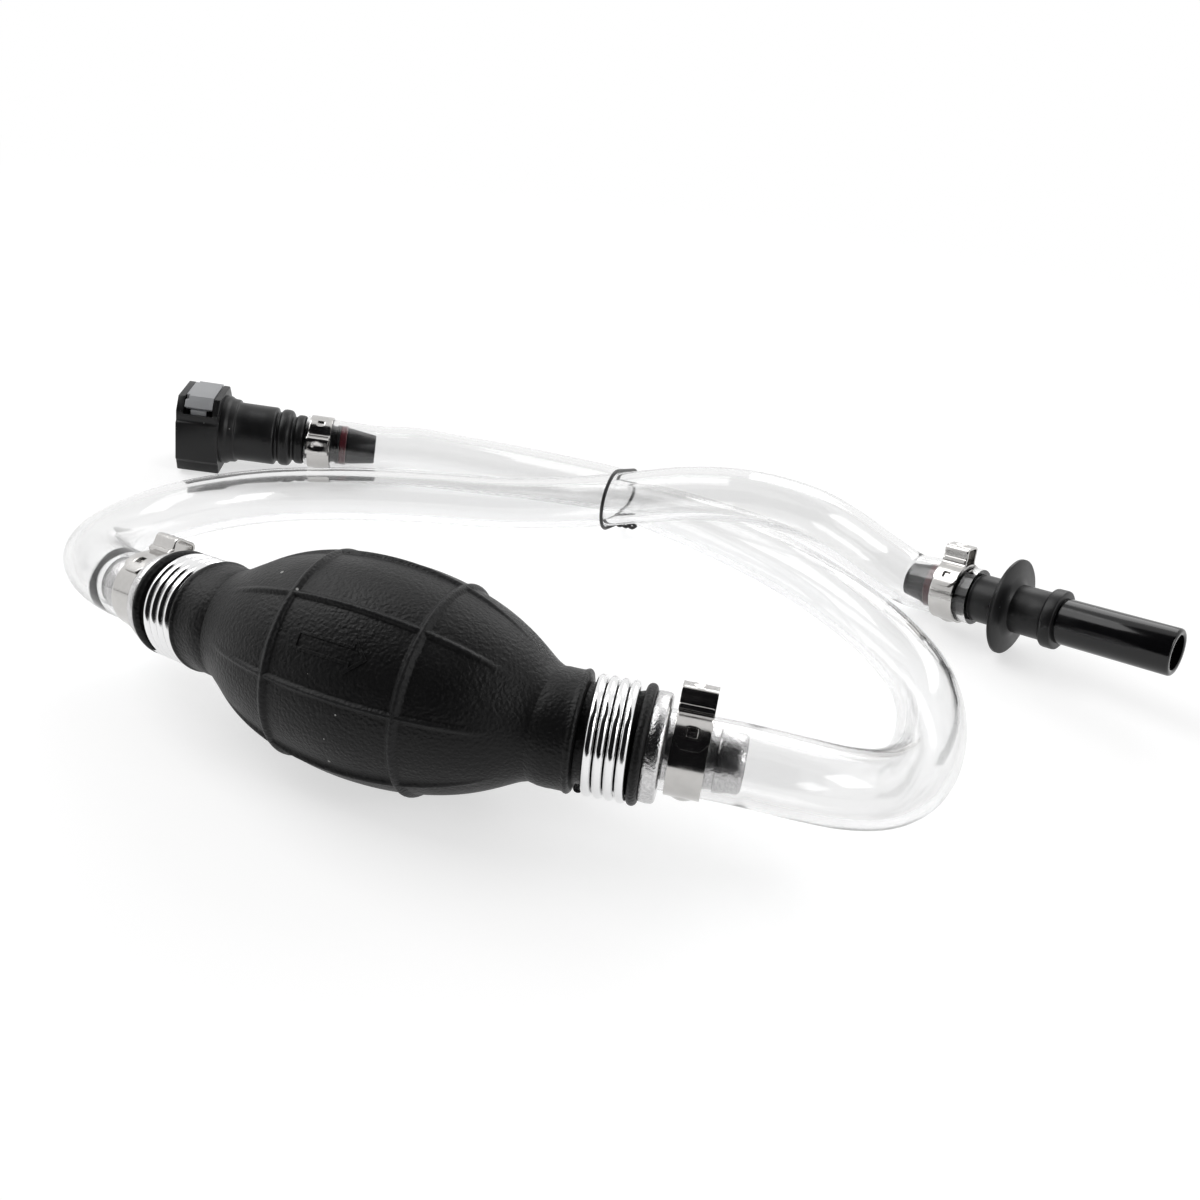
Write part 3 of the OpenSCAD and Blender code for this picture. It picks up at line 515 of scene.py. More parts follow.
for name, bend, at, angles in (
    ("inlet_neck", -0.0015, inlet_at, inlet_bend_angles),
    ("outlet_neck", 0.0, outlet_at, outlet_bend_angles),
):
    neck = lathe(name, neck_outline(bend), sides=96)
    set_down(neck, at, **angles)
    smooth(neck, 50)
    neck.data.materials.append(bulb_rubber)
    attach(neck, "pump")
    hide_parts("bulb")

# ------------------------------------------------------------ valve bodies
# Cast aluminium check valve bodies pushed into the necks. What shows is a
# rough cast flange and a spigot with three shallow barbs inside the hose.
flange_at, spigot_at, spigot_end = 0.0177, 0.0210, 0.0367
cast_outline = [
    (0.0155, 0.0058), (0.0155, 0.0034), (spigot_end - 0.0004, 0.0034), (spigot_end, 0.0038),
    (spigot_end, 0.0054), (spigot_end - 0.0006, 0.0059), (0.0346, 0.0059), (0.0316, 0.0064),
    (0.0313, 0.0063), (0.0312, 0.0059), (0.0306, 0.0059), (0.0276, 0.0064), (0.0273, 0.0063),
    (0.0272, 0.0059), (0.0266, 0.0059), (0.0238, 0.0064), (0.0235, 0.0063), (0.0234, 0.0059),
    (0.0214, 0.0060), (spigot_at, 0.0064), (spigot_at, 0.0103), (spigot_at - 0.0002, 0.0107),
    (spigot_at - 0.0006, 0.0109), (0.0194, 0.0110), (flange_at + 0.0004, 0.0109),
    (flange_at, 0.0106), (flange_at, 0.0074), (0.0023, 0.0074), (0.0015, 0.0069), (0.0015, 0.0058),
    (0.0155, 0.0058),
]

cast_metal, tree = new_material("cast aluminium")
coords = add_node(tree, "ShaderNodeTexCoord")
grain = place_group(tree, grain_group, Pebble_Scale=2100.0, Fine_Scale=5200.0, Mottle_Scale=160.0)
pits = add_node(
    tree, "ShaderNodeTexNoise",
    {"Vector": coords.outputs["Object"], "Scale": 1700.0, "Detail": 4.0, "Roughness": 0.65},
)
tone = two_tones(tree, pits.outputs["Fac"], (0.34, 0.33, 0.34, 1), (0.84, 0.84, 0.835, 1))
rough = uneven_gloss(tree, grain, 0.16, 0.28)
total = add_node(
    tree, "ShaderNodeMath", {0: pits.outputs["Fac"], 1: 1.6, 2: grain.outputs["Height"]},
    operation="MULTIPLY_ADD",
)
bump = relief(tree, total.outputs[0], 0.55, 0.0001)
surface(tree, Base_Color=tone, Metallic=1.0, Roughness=rough, Normal=bump)

for name, at, angles in (
    ("inlet_spigot", inlet_at, inlet_bend_angles),
    ("outlet_spigot", outlet_at, outlet_bend_angles),
):
    spigot = lathe(name, cast_outline, sides=72)
    set_down(spigot, at, **angles)
    smooth(spigot, 40)
    spigot.data.materials.append(cast_metal)
    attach(spigot, "pump")
    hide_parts(name.replace("spigot", "valve_body"))

# --------------------------------------------------------- neck wire clamps
# Four turns of plated spring wire wound tight into each neck's groove, with
# both ends cut off square.
wire_radius, wire_pitch, wire_turns, wire_steps = 0.00102, 0.0022, 4, 64
coil_start, coil_radius = 0.00587, 0.01107


def wire_piece(name, points, radius, sides=4):
    """A round wire along the points, as a mesh with closed ends."""
    bpy.ops.object.select_all(action="DESELECT")
    line = bpy.data.curves.new(name, "CURVE")
    line.dimensions = "3D"
    line.bevel_depth = radius
    line.bevel_resolution = sides
    line.use_fill_caps = True
    spline = line.splines.new("POLY")
    spline.points.add(len(points) - 1)
    for point, place in zip(spline.points, points):
        point.co = (*place, 1)
    piece = bpy.data.objects.new(name, line)
    bpy.context.collection.objects.link(piece)
    only(piece)
    bpy.ops.object.convert(target="MESH")
    piece = bpy.context.object
    smooth(piece, 50)
    return piece


plated_wire, tree = new_material("plated wire")
grain = place_group(tree, grain_group, Pebble_Scale=900.0, Fine_Scale=3000.0, Mottle_Scale=240.0)
tone = two_tones(tree, grain.outputs["Mottle"], (0.78, 0.78, 0.79, 1), (0.90, 0.90, 0.895, 1))
rough = uneven_gloss(tree, grain, 0.07, 0.2)
bump = relief(tree, grain.outputs["Mottle"], 0.03, 0.0001)
surface(tree, Base_Color=tone, Metallic=1.0, Roughness=rough, Normal=bump)

for name, turn, at, angles in (
    ("inlet_wire_clamp", -35, inlet_at, inlet_bend_angles),
    ("outlet_wire_clamp", 245, outlet_at, outlet_bend_angles),
):
    winding = []
    for i in range(wire_turns * wire_steps + 1):
        angle = 2 * math.pi * i / wire_steps
        x = coil_start + wire_pitch * i / wire_steps
        winding.append((x, coil_radius * math.cos(angle), coil_radius * math.sin(angle)))
    coil = wire_piece(name, winding, wire_radius)
    set_down(coil, at, turn=math.radians(turn), **angles)
    coil.data.materials.append(plated_wire)
    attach(coil, "pump")
    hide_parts(name.replace("wire", "neck"))

# ---------------------------------------------------------- valve internals
# Inside each body a moulded seat, a light plastic poppet and the cage that
# guides it, in the solids' own shapes, and a steel spring wound with closed
# ends.
spring_radius, spring_wire, spring_turns, spring_steps = 0.00305, 0.0003, 5, 32
seat_rubber, tree = new_material("seat rubber")
grain = place_group(tree, grain_group, Pebble_Scale=3000.0, Fine_Scale=6000.0, Mottle_Scale=300.0)
tone = two_tones(tree, grain.outputs["Mottle"], (0.020, 0.014, 0.011, 1), (0.045, 0.030, 0.022, 1))
bump = relief(tree, grain.outputs["Height"], 0.2, 0.00005)
surface(tree, Base_Color=tone, Roughness=0.55, Normal=bump)

ivory_plastic, tree = new_material("ivory plastic")
grain = place_group(tree, grain_group, Pebble_Scale=2400.0, Fine_Scale=7000.0, Mottle_Scale=200.0)
tone = two_tones(tree, grain.outputs["Mottle"], (0.62, 0.56, 0.43, 1), (0.74, 0.69, 0.55, 1))
bump = relief(tree, grain.outputs["Height"], 0.08, 0.00005)
surface(tree, Base_Color=tone, Roughness=0.38, Normal=bump)

spring_steel, tree = new_material("spring steel")
grain = place_group(tree, grain_group, Pebble_Scale=2000.0, Fine_Scale=6000.0, Mottle_Scale=500.0)
tone = two_tones(tree, grain.outputs["Mottle"], (0.42, 0.41, 0.40, 1), (0.62, 0.61, 0.60, 1))
surface(tree, Base_Color=tone, Metallic=1.0, Roughness=0.3)


def refinish(node, material):
    """Gives a solid that stays as it is the material of the real piece."""
    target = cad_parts[node]
    target.data.materials.clear()
    target.data.materials.append(material)


for end, start, stop, held, at, angles, direction in (
    ("inlet", 0.0039, 0.0122, 0.0039, inlet_at, inlet_bend_angles, inlet_direction),
    ("outlet", 0.0047, 0.0130, 0.0130, outlet_at, outlet_bend_angles, outlet_direction),
):
    refinish(end + "_valve_seat", seat_rubber)
    refinish(end + "_poppet", ivory_plastic)
    refinish(end + "_valve_cage", ivory_plastic)
    # The first and last turns lie closed, and the others share the length
    first, last, closed = start + spring_wire * 1.1, stop - spring_wire * 1.1, spring_wire * 2.15
    open_length = last - first - 2 * closed
    winding = []
    for i in range(spring_turns * spring_steps + 1):
        turn = i / spring_steps
        if turn < 1:
            x = first + closed * turn
        elif turn > spring_turns - 1:
            x = last - closed * (spring_turns - turn)
        else:
            x = first + closed + open_length * (turn - 1) / (spring_turns - 2)
        angle = 2 * math.pi * turn
        winding.append((x, spring_radius * math.cos(angle), spring_radius * math.sin(angle)))
    spring = wire_piece(end + "_coil_spring", winding, spring_wire, sides=2)
    set_down(spring, at, **angles)
    spring.data.materials.append(spring_steel)
    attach(spring, "pump")
    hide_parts(end + "_spring")
    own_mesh(spring)

# --------------------------------------------------------- quick connector
# Moulded black nylon coupling on the outlet hose's far end: a boxy head with
# a socket and a grey release button, a round body with two ribs, and a
# barbed stem that the hose is pushed on to.
quick_at = Vector((-0.1408, 0.1089, 0.013197))
quick_angles = dict(tilt=math.radians(4), yaw=math.radians(26))
head_length, head_high, head_wide = 0.013, 0.0246, 0.0228
socket_radius, head_step = 0.0064, 0.0008
leg_side, leg_half, leg_slot_half = 0.0084, 0.0008, 0.0011


def cut_away(piece, cutter):
    """Takes the cutter's volume out of the piece and removes the cutter."""
    apply_modifier(piece, "BOOLEAN", operation="DIFFERENCE", object=cutter, solver="EXACT")
    bpy.data.objects.remove(cutter)


def block(low, high):
    """A cutter between two corners."""
    low, high = Vector(low), Vector(high)
    bpy.ops.object.select_all(action="DESELECT")
    bpy.ops.mesh.primitive_cube_add(size=1, location=(low + high) / 2, scale=high - low)
    return bpy.context.object


def moulding(name, outline, start, length):
    """A piece with one section all along X, drawn as (y, z) corners."""
    bpy.ops.object.select_all(action="DESELECT")
    bpy.ops.mesh.primitive_circle_add(vertices=len(outline), radius=0.01, fill_type="NGON")
    piece = bpy.context.object
    piece.name = name
    for vertex, (y, z) in zip(piece.data.vertices, outline):
        vertex.co = (start, y, z)
    bpy.ops.object.mode_set(mode="EDIT")
    bpy.ops.mesh.select_all(action="SELECT")
    bpy.ops.mesh.extrude_region_move(TRANSFORM_OT_translate={"value": (length, 0, 0)})
    bpy.ops.mesh.select_all(action="SELECT")
    bpy.ops.mesh.normals_make_consistent(inside=False)
    bpy.ops.object.mode_set(mode="OBJECT")
    return piece


def both_sides(half):
    """A section from its right half."""
    return half + [(-y, z) for y, z in half[::-1]]


h, w = head_high / 2, head_wide / 2
waist = w - head_step
head_outline = both_sides([
    (w * 0.64, h), (waist, h * 0.67), (waist, h * 0.42), (w, h * 0.36), (w, -h * 0.63),
    (waist, -h * 0.69), (w * 0.79, -h),
])
quick_head = moulding("quick_head", head_outline, 0, head_length)
apply_modifier(
    quick_head, "BEVEL", width=0.00035, segments=3, limit_method="ANGLE", angle_limit=0.4,
    harden_normals=True,
)

# The socket's bore, cut by a cylinder whose two ends are closed
bore = lathe("bore", [(-0.001, socket_radius), (head_length + 0.001, socket_radius)], sides=56)
only(bore)
bpy.ops.object.mode_set(mode="EDIT")
bpy.ops.mesh.select_all(action="SELECT")
bpy.ops.mesh.region_to_loop()
bpy.ops.mesh.edge_face_add()
bpy.ops.object.mode_set(mode="OBJECT")
cut_away(quick_head, bore)

# The bed of the release button, and a slot for each of its legs
saddle_bed = [
    (0.0146, 0.0240), (0.0146, 0.0074), (0.0101, 0.0074), (0.0078, 0.0061), (0.0061, 0.0078)
]
cut_away(quick_head, moulding("bed", both_sides(saddle_bed), 0.0021, 0.0090))
for side in (-1, 1):
    low = (0.0039, side * leg_side - leg_slot_half, -0.0093)
    high = (0.0091, side * leg_side + leg_slot_half, 0.0077)
    cut_away(quick_head, block(low, high))

body_outline = [
    (0.0135, 0.0064), (0.0120, 0.0070), (0.0120, 0.0107), (0.0123, 0.0110), (0.0143, 0.0110),
    (0.0148, 0.0108), (0.0152, 0.0105), (0.0157, 0.0103), (0.0171, 0.0102), (0.0174, 0.0100),
    (0.0175, 0.0096), (0.0178, 0.0094), (0.0220, 0.0094), (0.0260, 0.0094), (0.0291, 0.0094),
    (0.0295, 0.0092), (0.0298, 0.0084), (0.0300, 0.0081), (0.0308, 0.0081), (0.0310, 0.0086),
    (0.0314, 0.0090), (0.0321, 0.0092), (0.0330, 0.0092), (0.0338, 0.0091), (0.0343, 0.0088),
    (0.0347, 0.0082), (0.0349, 0.0074), (0.0352, 0.0072), (0.0357, 0.0072), (0.0360, 0.0076),
    (0.0364, 0.0079), (0.0370, 0.0080), (0.0378, 0.0080), (0.0384, 0.0079), (0.0388, 0.0076),
    (0.0390, 0.0072), (0.0390, 0.0061), (0.0394, 0.0059), (0.0414, 0.0059), (0.0415, 0.0063),
    (0.0417, 0.0064), (0.0442, 0.0059), (0.0446, 0.0059), (0.0447, 0.0063), (0.0449, 0.0064),
    (0.0474, 0.0059), (0.0492, 0.0059), (0.0493, 0.0063), (0.0495, 0.0064), (0.0502, 0.0064),
    (0.0504, 0.0063), (0.0504, 0.0048), (0.0526, 0.0048), (0.0526, 0.0058), (0.0530, 0.0059),
    (0.0539, 0.0058), (0.0617, 0.00465), (0.0620, 0.0044), (0.0620, 0.0037), (0.0617, 0.0034),
    (0.0240, 0.0034), (0.0240, 0.0064), (0.0201, 0.0064), (0.0201, 0.0084), (0.0145, 0.0084),
    (0.0145, 0.0064), (0.0135, 0.0064),
]
quick_body = lathe("quick_connector", body_outline, sides=72)
apply_modifier(
    quick_body, "BEVEL", width=0.0001, segments=2, limit_method="ANGLE", angle_limit=0.9
)
bpy.ops.object.select_all(action="DESELECT")
quick_head.select_set(True)
quick_body.select_set(True)
bpy.context.view_layer.objects.active = quick_body
bpy.ops.object.join()
set_down(quick_body, quick_at, **quick_angles)
smooth(quick_body, 35)

black_nylon, tree = new_material("black nylon")
grain = place_group(tree, grain_group, Pebble_Scale=2600.0, Fine_Scale=6500.0, Mottle_Scale=90.0)
dust = place_group(tree, dust_group, Speck_Scale=500.0, Share=0.04)
tone = two_tones(
    tree, grain.outputs["Mottle"], (0.0045, 0.0045, 0.005, 1), (0.010, 0.010, 0.0105, 1)
)
tone = two_tones(tree, dust.outputs["Mask"], tone, (0.25, 0.25, 0.25, 1))
rough = uneven_gloss(tree, grain, 0.3, 0.44)
bump = relief(tree, grain.outputs["Height"], 0.14, 0.00006)
surface(tree, Base_Color=tone, Roughness=rough, Normal=bump, Specular_IOR_Level=0.3)
quick_body.data.materials.clear()
quick_body.data.materials.append(black_nylon)
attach(quick_body, "pump")
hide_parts("connector_body")

# ---------------------------------------------------------- release button
# A grey moulded saddle over the head's top: it is pressed with the thumb, and
# its two legs run down beside the socket and spread to let go of the pipe.
saddle_half = [(0.0073, 0.0126), (0.0096, 0.00955), (0.0079, 0.0083), (0.0063, 0.0100)]
notch_side, notch_half = 0.0073, 0.0013
button = moulding("release_button", both_sides(saddle_half), 0.0024, 0.0084)
for side in (-1, 1):
    low = (0.0014, side * notch_side - notch_half, 0.0113)
    high = (0.0034, side * notch_side + notch_half, 0.0143)
    cut_away(button, block(low, high))
    low = (0.0042, side * leg_side - leg_half, -0.0070)
    high = (0.0088, side * leg_side + leg_half, 0.0085)
    leg = block(low, high)
    apply_modifier(button, "BOOLEAN", operation="UNION", object=leg, solver="EXACT")
    bpy.data.objects.remove(leg)
apply_modifier(button, "BEVEL", width=0.0003, segments=3, limit_method="ANGLE", angle_limit=0.6)
set_down(button, quick_at, **quick_angles)
smooth(button, 40)

grey_plastic, tree = new_material("grey plastic")
grain = place_group(tree, grain_group, Pebble_Scale=2800.0, Fine_Scale=6500.0, Mottle_Scale=120.0)
tone = two_tones(tree, grain.outputs["Mottle"], (0.27, 0.275, 0.285, 1), (0.34, 0.345, 0.355, 1))
bump = relief(tree, grain.outputs["Height"], 0.16, 0.00006)
surface(tree, Base_Color=tone, Roughness=0.42, Normal=bump)
button.data.materials.append(grey_plastic)
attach(button, "release_button")
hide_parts("connector_button")

# ---------------------------------------------------------- seals and rings
# Two lip seals and a spacer ring in the socket, and a dark red ring in the
# groove of each barbed stem.
red_rubber, tree = new_material("dark red rubber")
grain = place_group(tree, grain_group, Pebble_Scale=2600.0, Fine_Scale=6000.0, Mottle_Scale=200.0)
tone = two_tones(tree, grain.outputs["Mottle"], (0.055, 0.007, 0.011, 1), (0.09, 0.012, 0.018, 1))
bump = relief(tree, grain.outputs["Height"], 0.1, 0.00005)
surface(tree, Base_Color=tone, Roughness=0.3, Normal=bump)
for node in ("connector_seal_outer", "connector_stem_ring", "male_stem_ring"):
    refinish(node, red_rubber)
for node in ("connector_spacer", "connector_seal_inner"):
    refinish(node, black_nylon)

# ---------------------------------------------------------- male connector
# Round black nylon moulding on the inlet hose's far end: a hollow nose and
# barbs inside the hose, a thin stop disc, a round body and a collar.
male_at = Vector((0.1213, 0.1302, 0.013448))
male_angles = dict(tilt=math.radians(-9), yaw=math.radians(-24))
male_outline = [
    (-0.0312, 0.0037), (-0.0312, 0.0043), (-0.0309, 0.0046), (-0.0256, 0.0055), (-0.0250, 0.0058),
    (-0.0245, 0.0059), (-0.0237, 0.0059), (-0.0237, 0.0048), (-0.0215, 0.0048), (-0.0215, 0.0063),
    (-0.0213, 0.0064), (-0.0207, 0.0064), (-0.0206, 0.0060), (-0.0172, 0.0059), (-0.0148, 0.0064),
    (-0.0146, 0.0063), (-0.0145, 0.0059), (-0.0100, 0.0059), (-0.0097, 0.0067), (-0.0094, 0.0068),
    (-0.0020, 0.0068), (-0.0014, 0.0075), (-0.0008, 0.0090), (-0.0006, 0.0131), (-0.0003, 0.0135),
    (0.0003, 0.0135), (0.0006, 0.0131), (0.0008, 0.0090), (0.0014, 0.0075), (0.0020, 0.0068),
    (0.0060, 0.0068), (0.0106, 0.0068), (0.0109, 0.0070), (0.0110, 0.0078), (0.0113, 0.0081),
    (0.0117, 0.0082), (0.0139, 0.0082), (0.0143, 0.0081), (0.0145, 0.0078), (0.0145, 0.0058),
    (0.0110, 0.0058), (0.0110, 0.0047), (0.0060, 0.0047), (0.0060, 0.0034), (-0.0309, 0.0034),
    (-0.0312, 0.0037),
]
male_body = lathe("male_connector", male_outline, sides=80)
set_down(male_body, male_at, **male_angles)
smooth(male_body, 35)
male_body.data.materials.append(black_nylon)
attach(male_body, "pump")
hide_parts("male_stem")

# --------------------------------------------------------------- male tube
# A glossy black nylon tube set into the collar. It ends square with a small
# chamfer and plugs into a socket like the quick connector's.
tube_outline = [
    (0.0110, 0.0047), (0.0110, 0.0058), (0.0145, 0.0058), (0.0145, 0.0063), (0.0300, 0.0063),
    (0.0434, 0.0063), (0.0438, 0.0061), (0.0440, 0.0058), (0.0440, 0.0050), (0.0438, 0.0047),
    (0.0300, 0.0047), (0.0110, 0.0047),
]
male_tube = lathe("male_pipe", tube_outline, sides=72)
set_down(male_tube, male_at, **male_angles)
smooth(male_tube, 35)

gloss_black, tree = new_material("gloss black tube")
grain = place_group(tree, grain_group, Pebble_Scale=1500.0, Fine_Scale=5000.0, Mottle_Scale=110.0)
dust = place_group(tree, dust_group, Speck_Scale=420.0, Share=0.05)
tone = two_tones(tree, dust.outputs["Mask"], (0.003, 0.003, 0.0035, 1), (0.2, 0.2, 0.2, 1))
rough = uneven_gloss(tree, grain, 0.10, 0.22)
bump = relief(tree, grain.outputs["Mottle"], 0.05, 0.0002)
surface(tree, Base_Color=tone, Roughness=rough, Normal=bump, Specular_IOR_Level=0.42)
male_tube.data.materials.append(gloss_black)
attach(male_tube, "pump")
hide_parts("male_tube")

# ------------------------------------------------------------- hose clamps
# Stepless clamps in polished stainless strip: each is one strap bent round
# the hose, up over a closing ear and down into a tab that laps the band.
band_radius, band_thick, band_width = 0.00805, 0.0006, 0.0070
lap_radius = band_radius + band_thick + 0.00005
ear_half, ear_top = 0.0022, 0.01305
hollow_deep, hollow_long, hollow_wide = 0.0006, 0.0022, 0.0015
dimple_at, dimple_reach, dimple_rise = math.radians(-78), 0.0019, 0.07
tip_reach, tip_half, slot_half = 0.0019, 0.0017, 0.0010


def arc(radius, angles):
    """Points on a circle as (y, z), at angles in degrees."""
    return [
        (radius * math.cos(math.radians(a)), radius * math.sin(math.radians(a))) for a in angles
    ]


def clamp_line(side):
    """Inner line of the strap as (y, z): round the hose, over the ear, down the tab."""
    band = arc(band_radius, [104 - i * 4.2 for i in range(86)])
    foot = [
        (-0.00245, 0.0078), (-0.0020, 0.0083), (-0.0019, 0.0090), (-0.0019, 0.0102),
        (-0.0021, 0.0114),
    ]
    crown = [
        (-ear_half, 0.0121), (-ear_half, 0.0125), (-ear_half + 0.0002, 0.01285),
        (-ear_half + 0.0006, ear_top),
    ]
    middle = [(-0.0012 + i * 0.0004, ear_top) for i in range(7)]
    leg = [
        (0.0022, 0.0114), (0.0022, 0.0108), (0.00225, 0.0103), (0.0024, 0.0100), (0.0027, 0.00985),
        (0.0028, 0.0096), (0.0026, 0.0093), (0.0025, 0.0089), (0.0028, 0.0085),
    ]
    tab = arc(lap_radius, range(68, 18, -4))
    line = band + foot + crown + middle + [(-y, z) for y, z in crown[::-1]] + leg + tab
    return [(side * y, z) for y, z in line]


def pick(piece, kind, wanted):
    """Selects the vertices or faces that pass a test, and stays in edit mode."""
    only(piece)
    bpy.ops.object.mode_set(mode="EDIT")
    bpy.ops.mesh.select_mode(type=kind)
    bpy.ops.mesh.select_all(action="DESELECT")
    bpy.ops.object.mode_set(mode="OBJECT")
    for item in piece.data.vertices if kind == "VERT" else piece.data.polygons:
        item.select = wanted(item)
    bpy.ops.object.mode_set(mode="EDIT")


def hose_clamp(name, place, side):
    """One clamp round X at a place along it, its ear on top and its tab on one side."""
    line = clamp_line(side)
    bpy.ops.object.select_all(action="DESELECT")
    bpy.ops.mesh.primitive_plane_add(size=band_width, location=(place, line[0][0], line[0][1]))
    clamp = bpy.context.object
    clamp.name = name
    bpy.ops.object.transform_apply(location=True, rotation=True, scale=True)
    pick(clamp, "VERT", lambda vertex: vertex.co.y > line[0][0])
    bpy.ops.mesh.delete(type="VERT")
    bpy.ops.mesh.select_all(action="SELECT")
    bpy.ops.transform.translate(value=(0, band_width / 2, 0))
    bpy.ops.mesh.subdivide(number_cuts=13)
    bpy.ops.mesh.select_all(action="SELECT")
    for (y, z), (next_y, next_z) in zip(line, line[1:]):
        bpy.ops.mesh.extrude_region_move(
            TRANSFORM_OT_translate={"value": (0, next_y - y, next_z - z)}
        )
    bpy.ops.object.mode_set(mode="OBJECT")

    # The crown is pressed into an oval hollow, a small dimple is pressed out
    # underneath, and the tab's corners are cut off
    dimple_y, dimple_z = band_radius * math.cos(dimple_at), band_radius * math.sin(dimple_at)
    dimple = Vector((place, side * dimple_y, dimple_z))
    for vertex in clamp.data.vertices:
        x, y, z = vertex.co
        if z > ear_top - 0.00005:
            oval = ((x - place) / hollow_long) ** 2 + (y / hollow_wide) ** 2
            vertex.co.z -= hollow_deep * max(0.0, 1 - oval)
        if (vertex.co - dimple).length < dimple_reach:
            vertex.co *= 1 + dimple_rise * (1 - ((vertex.co - dimple).length / dimple_reach) ** 2)
            vertex.co.x = x
    tip = Vector((0, *line[-1]))
    for vertex in clamp.data.vertices:
        across = Vector((0, vertex.co.y, vertex.co.z))
        from_tip = (across - tip).length
        if from_tip < tip_reach and across.length > band_radius + band_thick / 2:
            vertex.co.x = place + (vertex.co.x - place) * (tip_half + from_tip) / (band_width / 2)

    # A slot in the tab where the inner strap's hook catches
    slot_rows = [(Vector((0, *a)) + Vector((0, *b))) / 2 for a, b in zip(line[-8:-5], line[-7:-4])]

    def in_slot(face):
        across = Vector((0, face.center.y, face.center.z))
        on_row = min((across - row).length for row in slot_rows) < 0.00005
        return abs(face.center.x - place) < slot_half and on_row

    pick(clamp, "FACE", in_slot)
    bpy.ops.mesh.delete(type="FACE")
    bpy.ops.object.mode_set(mode="OBJECT")
    first = clamp.data.polygons[0]
    outward = first.normal.y * first.center.y + first.normal.z * first.center.z > 0
    apply_modifier(
        clamp, "SOLIDIFY", thickness=band_thick, offset=1 if outward else -1, use_even_offset=True
    )
    only(clamp)
    bpy.ops.object.mode_set(mode="EDIT")
    bpy.ops.mesh.select_all(action="SELECT")
    bpy.ops.mesh.normals_make_consistent(inside=False)
    bpy.ops.object.mode_set(mode="OBJECT")
    apply_modifier(clamp, "BEVEL", width=0.0001, segments=2, limit_method="ANGLE", angle_limit=0.9)
    return clamp


clamp_steel, tree = new_material("polished clamp steel")
coords = add_node(tree, "ShaderNodeTexCoord")
grain = place_group(tree, grain_group, Pebble_Scale=1300.0, Fine_Scale=5000.0, Mottle_Scale=200.0)
fine_lines = add_node(
    tree, "ShaderNodeTexNoise",
    {"Vector": coords.outputs["Object"], "Scale": 1400.0, "Detail": 2.0},
)
tone = two_tones(tree, grain.outputs["Mottle"], (0.44, 0.43, 0.42, 1), (0.62, 0.61, 0.595, 1))
rough = uneven_gloss(tree, grain, 0.10, 0.22)
bump = relief(tree, fine_lines.outputs["Fac"], 0.06, 0.0001)
surface(tree, Base_Color=tone, Metallic=1.0, Roughness=rough, Normal=bump)

clamps = {}
for name, place, turn, side, at, angles, node in (
    ("inlet_clamp", 0.0259, 35, 1, inlet_at, inlet_bend_angles, "inlet_hose_clamp"),
    ("outlet_clamp", 0.0259, -18, -1, outlet_at, outlet_bend_angles, "outlet_hose_clamp"),
    ("quick_clamp", 0.0440, 75, 1, quick_at, quick_angles, "connector_clamp"),
    ("male_clamp_strap", -0.0172, -5, -1, male_at, male_angles, "male_clamp"),
):
    clamp = hose_clamp(name, place, side)
    set_down(clamp, at, turn=math.radians(turn), **angles)
    smooth(clamp, 40)
    clamp.data.materials.append(clamp_steel)
    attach(clamp, "pump")
    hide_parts(node)
    clamps[name] = clamp

# ------------------------------------------------------------------- hoses
# Two lengths of clear soft hose, 16 mm outside and 12 mm inside. Each leaves
# its valve straight, lies along the table and ends on its connector's stem;
# the inlet hose passes over the outlet hose in a long low hump.
hose_radius, hose_bore, stem_bore, stem_rings = 0.008, 0.006, 0.00645, 13
inlet_route = [
    (-0.059103, 0.005068, 0.020339), (-0.066840, 0.006855, 0.019364),
    (-0.074093, 0.008529, 0.018450),
    (-0.0840, 0.0130, 0.0168), (-0.0930, 0.0200, 0.0148), (-0.0995, 0.0295, 0.0128),
    (-0.1035, 0.0410, 0.0110), (-0.1050, 0.0530, 0.0098), (-0.1030, 0.0650, 0.0090),
    (-0.0980, 0.0770, 0.0084), (-0.0900, 0.0880, 0.0081), (-0.0790, 0.0975, 0.0080),
    (-0.0660, 0.1060, 0.0080), (-0.0500, 0.1145, 0.0080), (-0.0330, 0.1225, 0.0080),
    (-0.0170, 0.1295, 0.0095), (-0.0030, 0.1330, 0.0126), (0.0100, 0.1335, 0.0170),
    (0.0240, 0.1340, 0.0215), (0.0380, 0.1340, 0.0244), (0.0500, 0.1348, 0.0248),
    (0.0620, 0.1375, 0.0226), (0.0730, 0.1410, 0.0175), (0.0830, 0.1434, 0.0120),
    (0.093148, 0.142734, 0.008567), (0.100908, 0.139279, 0.009913), (0.112277, 0.134217, 0.011884),
]
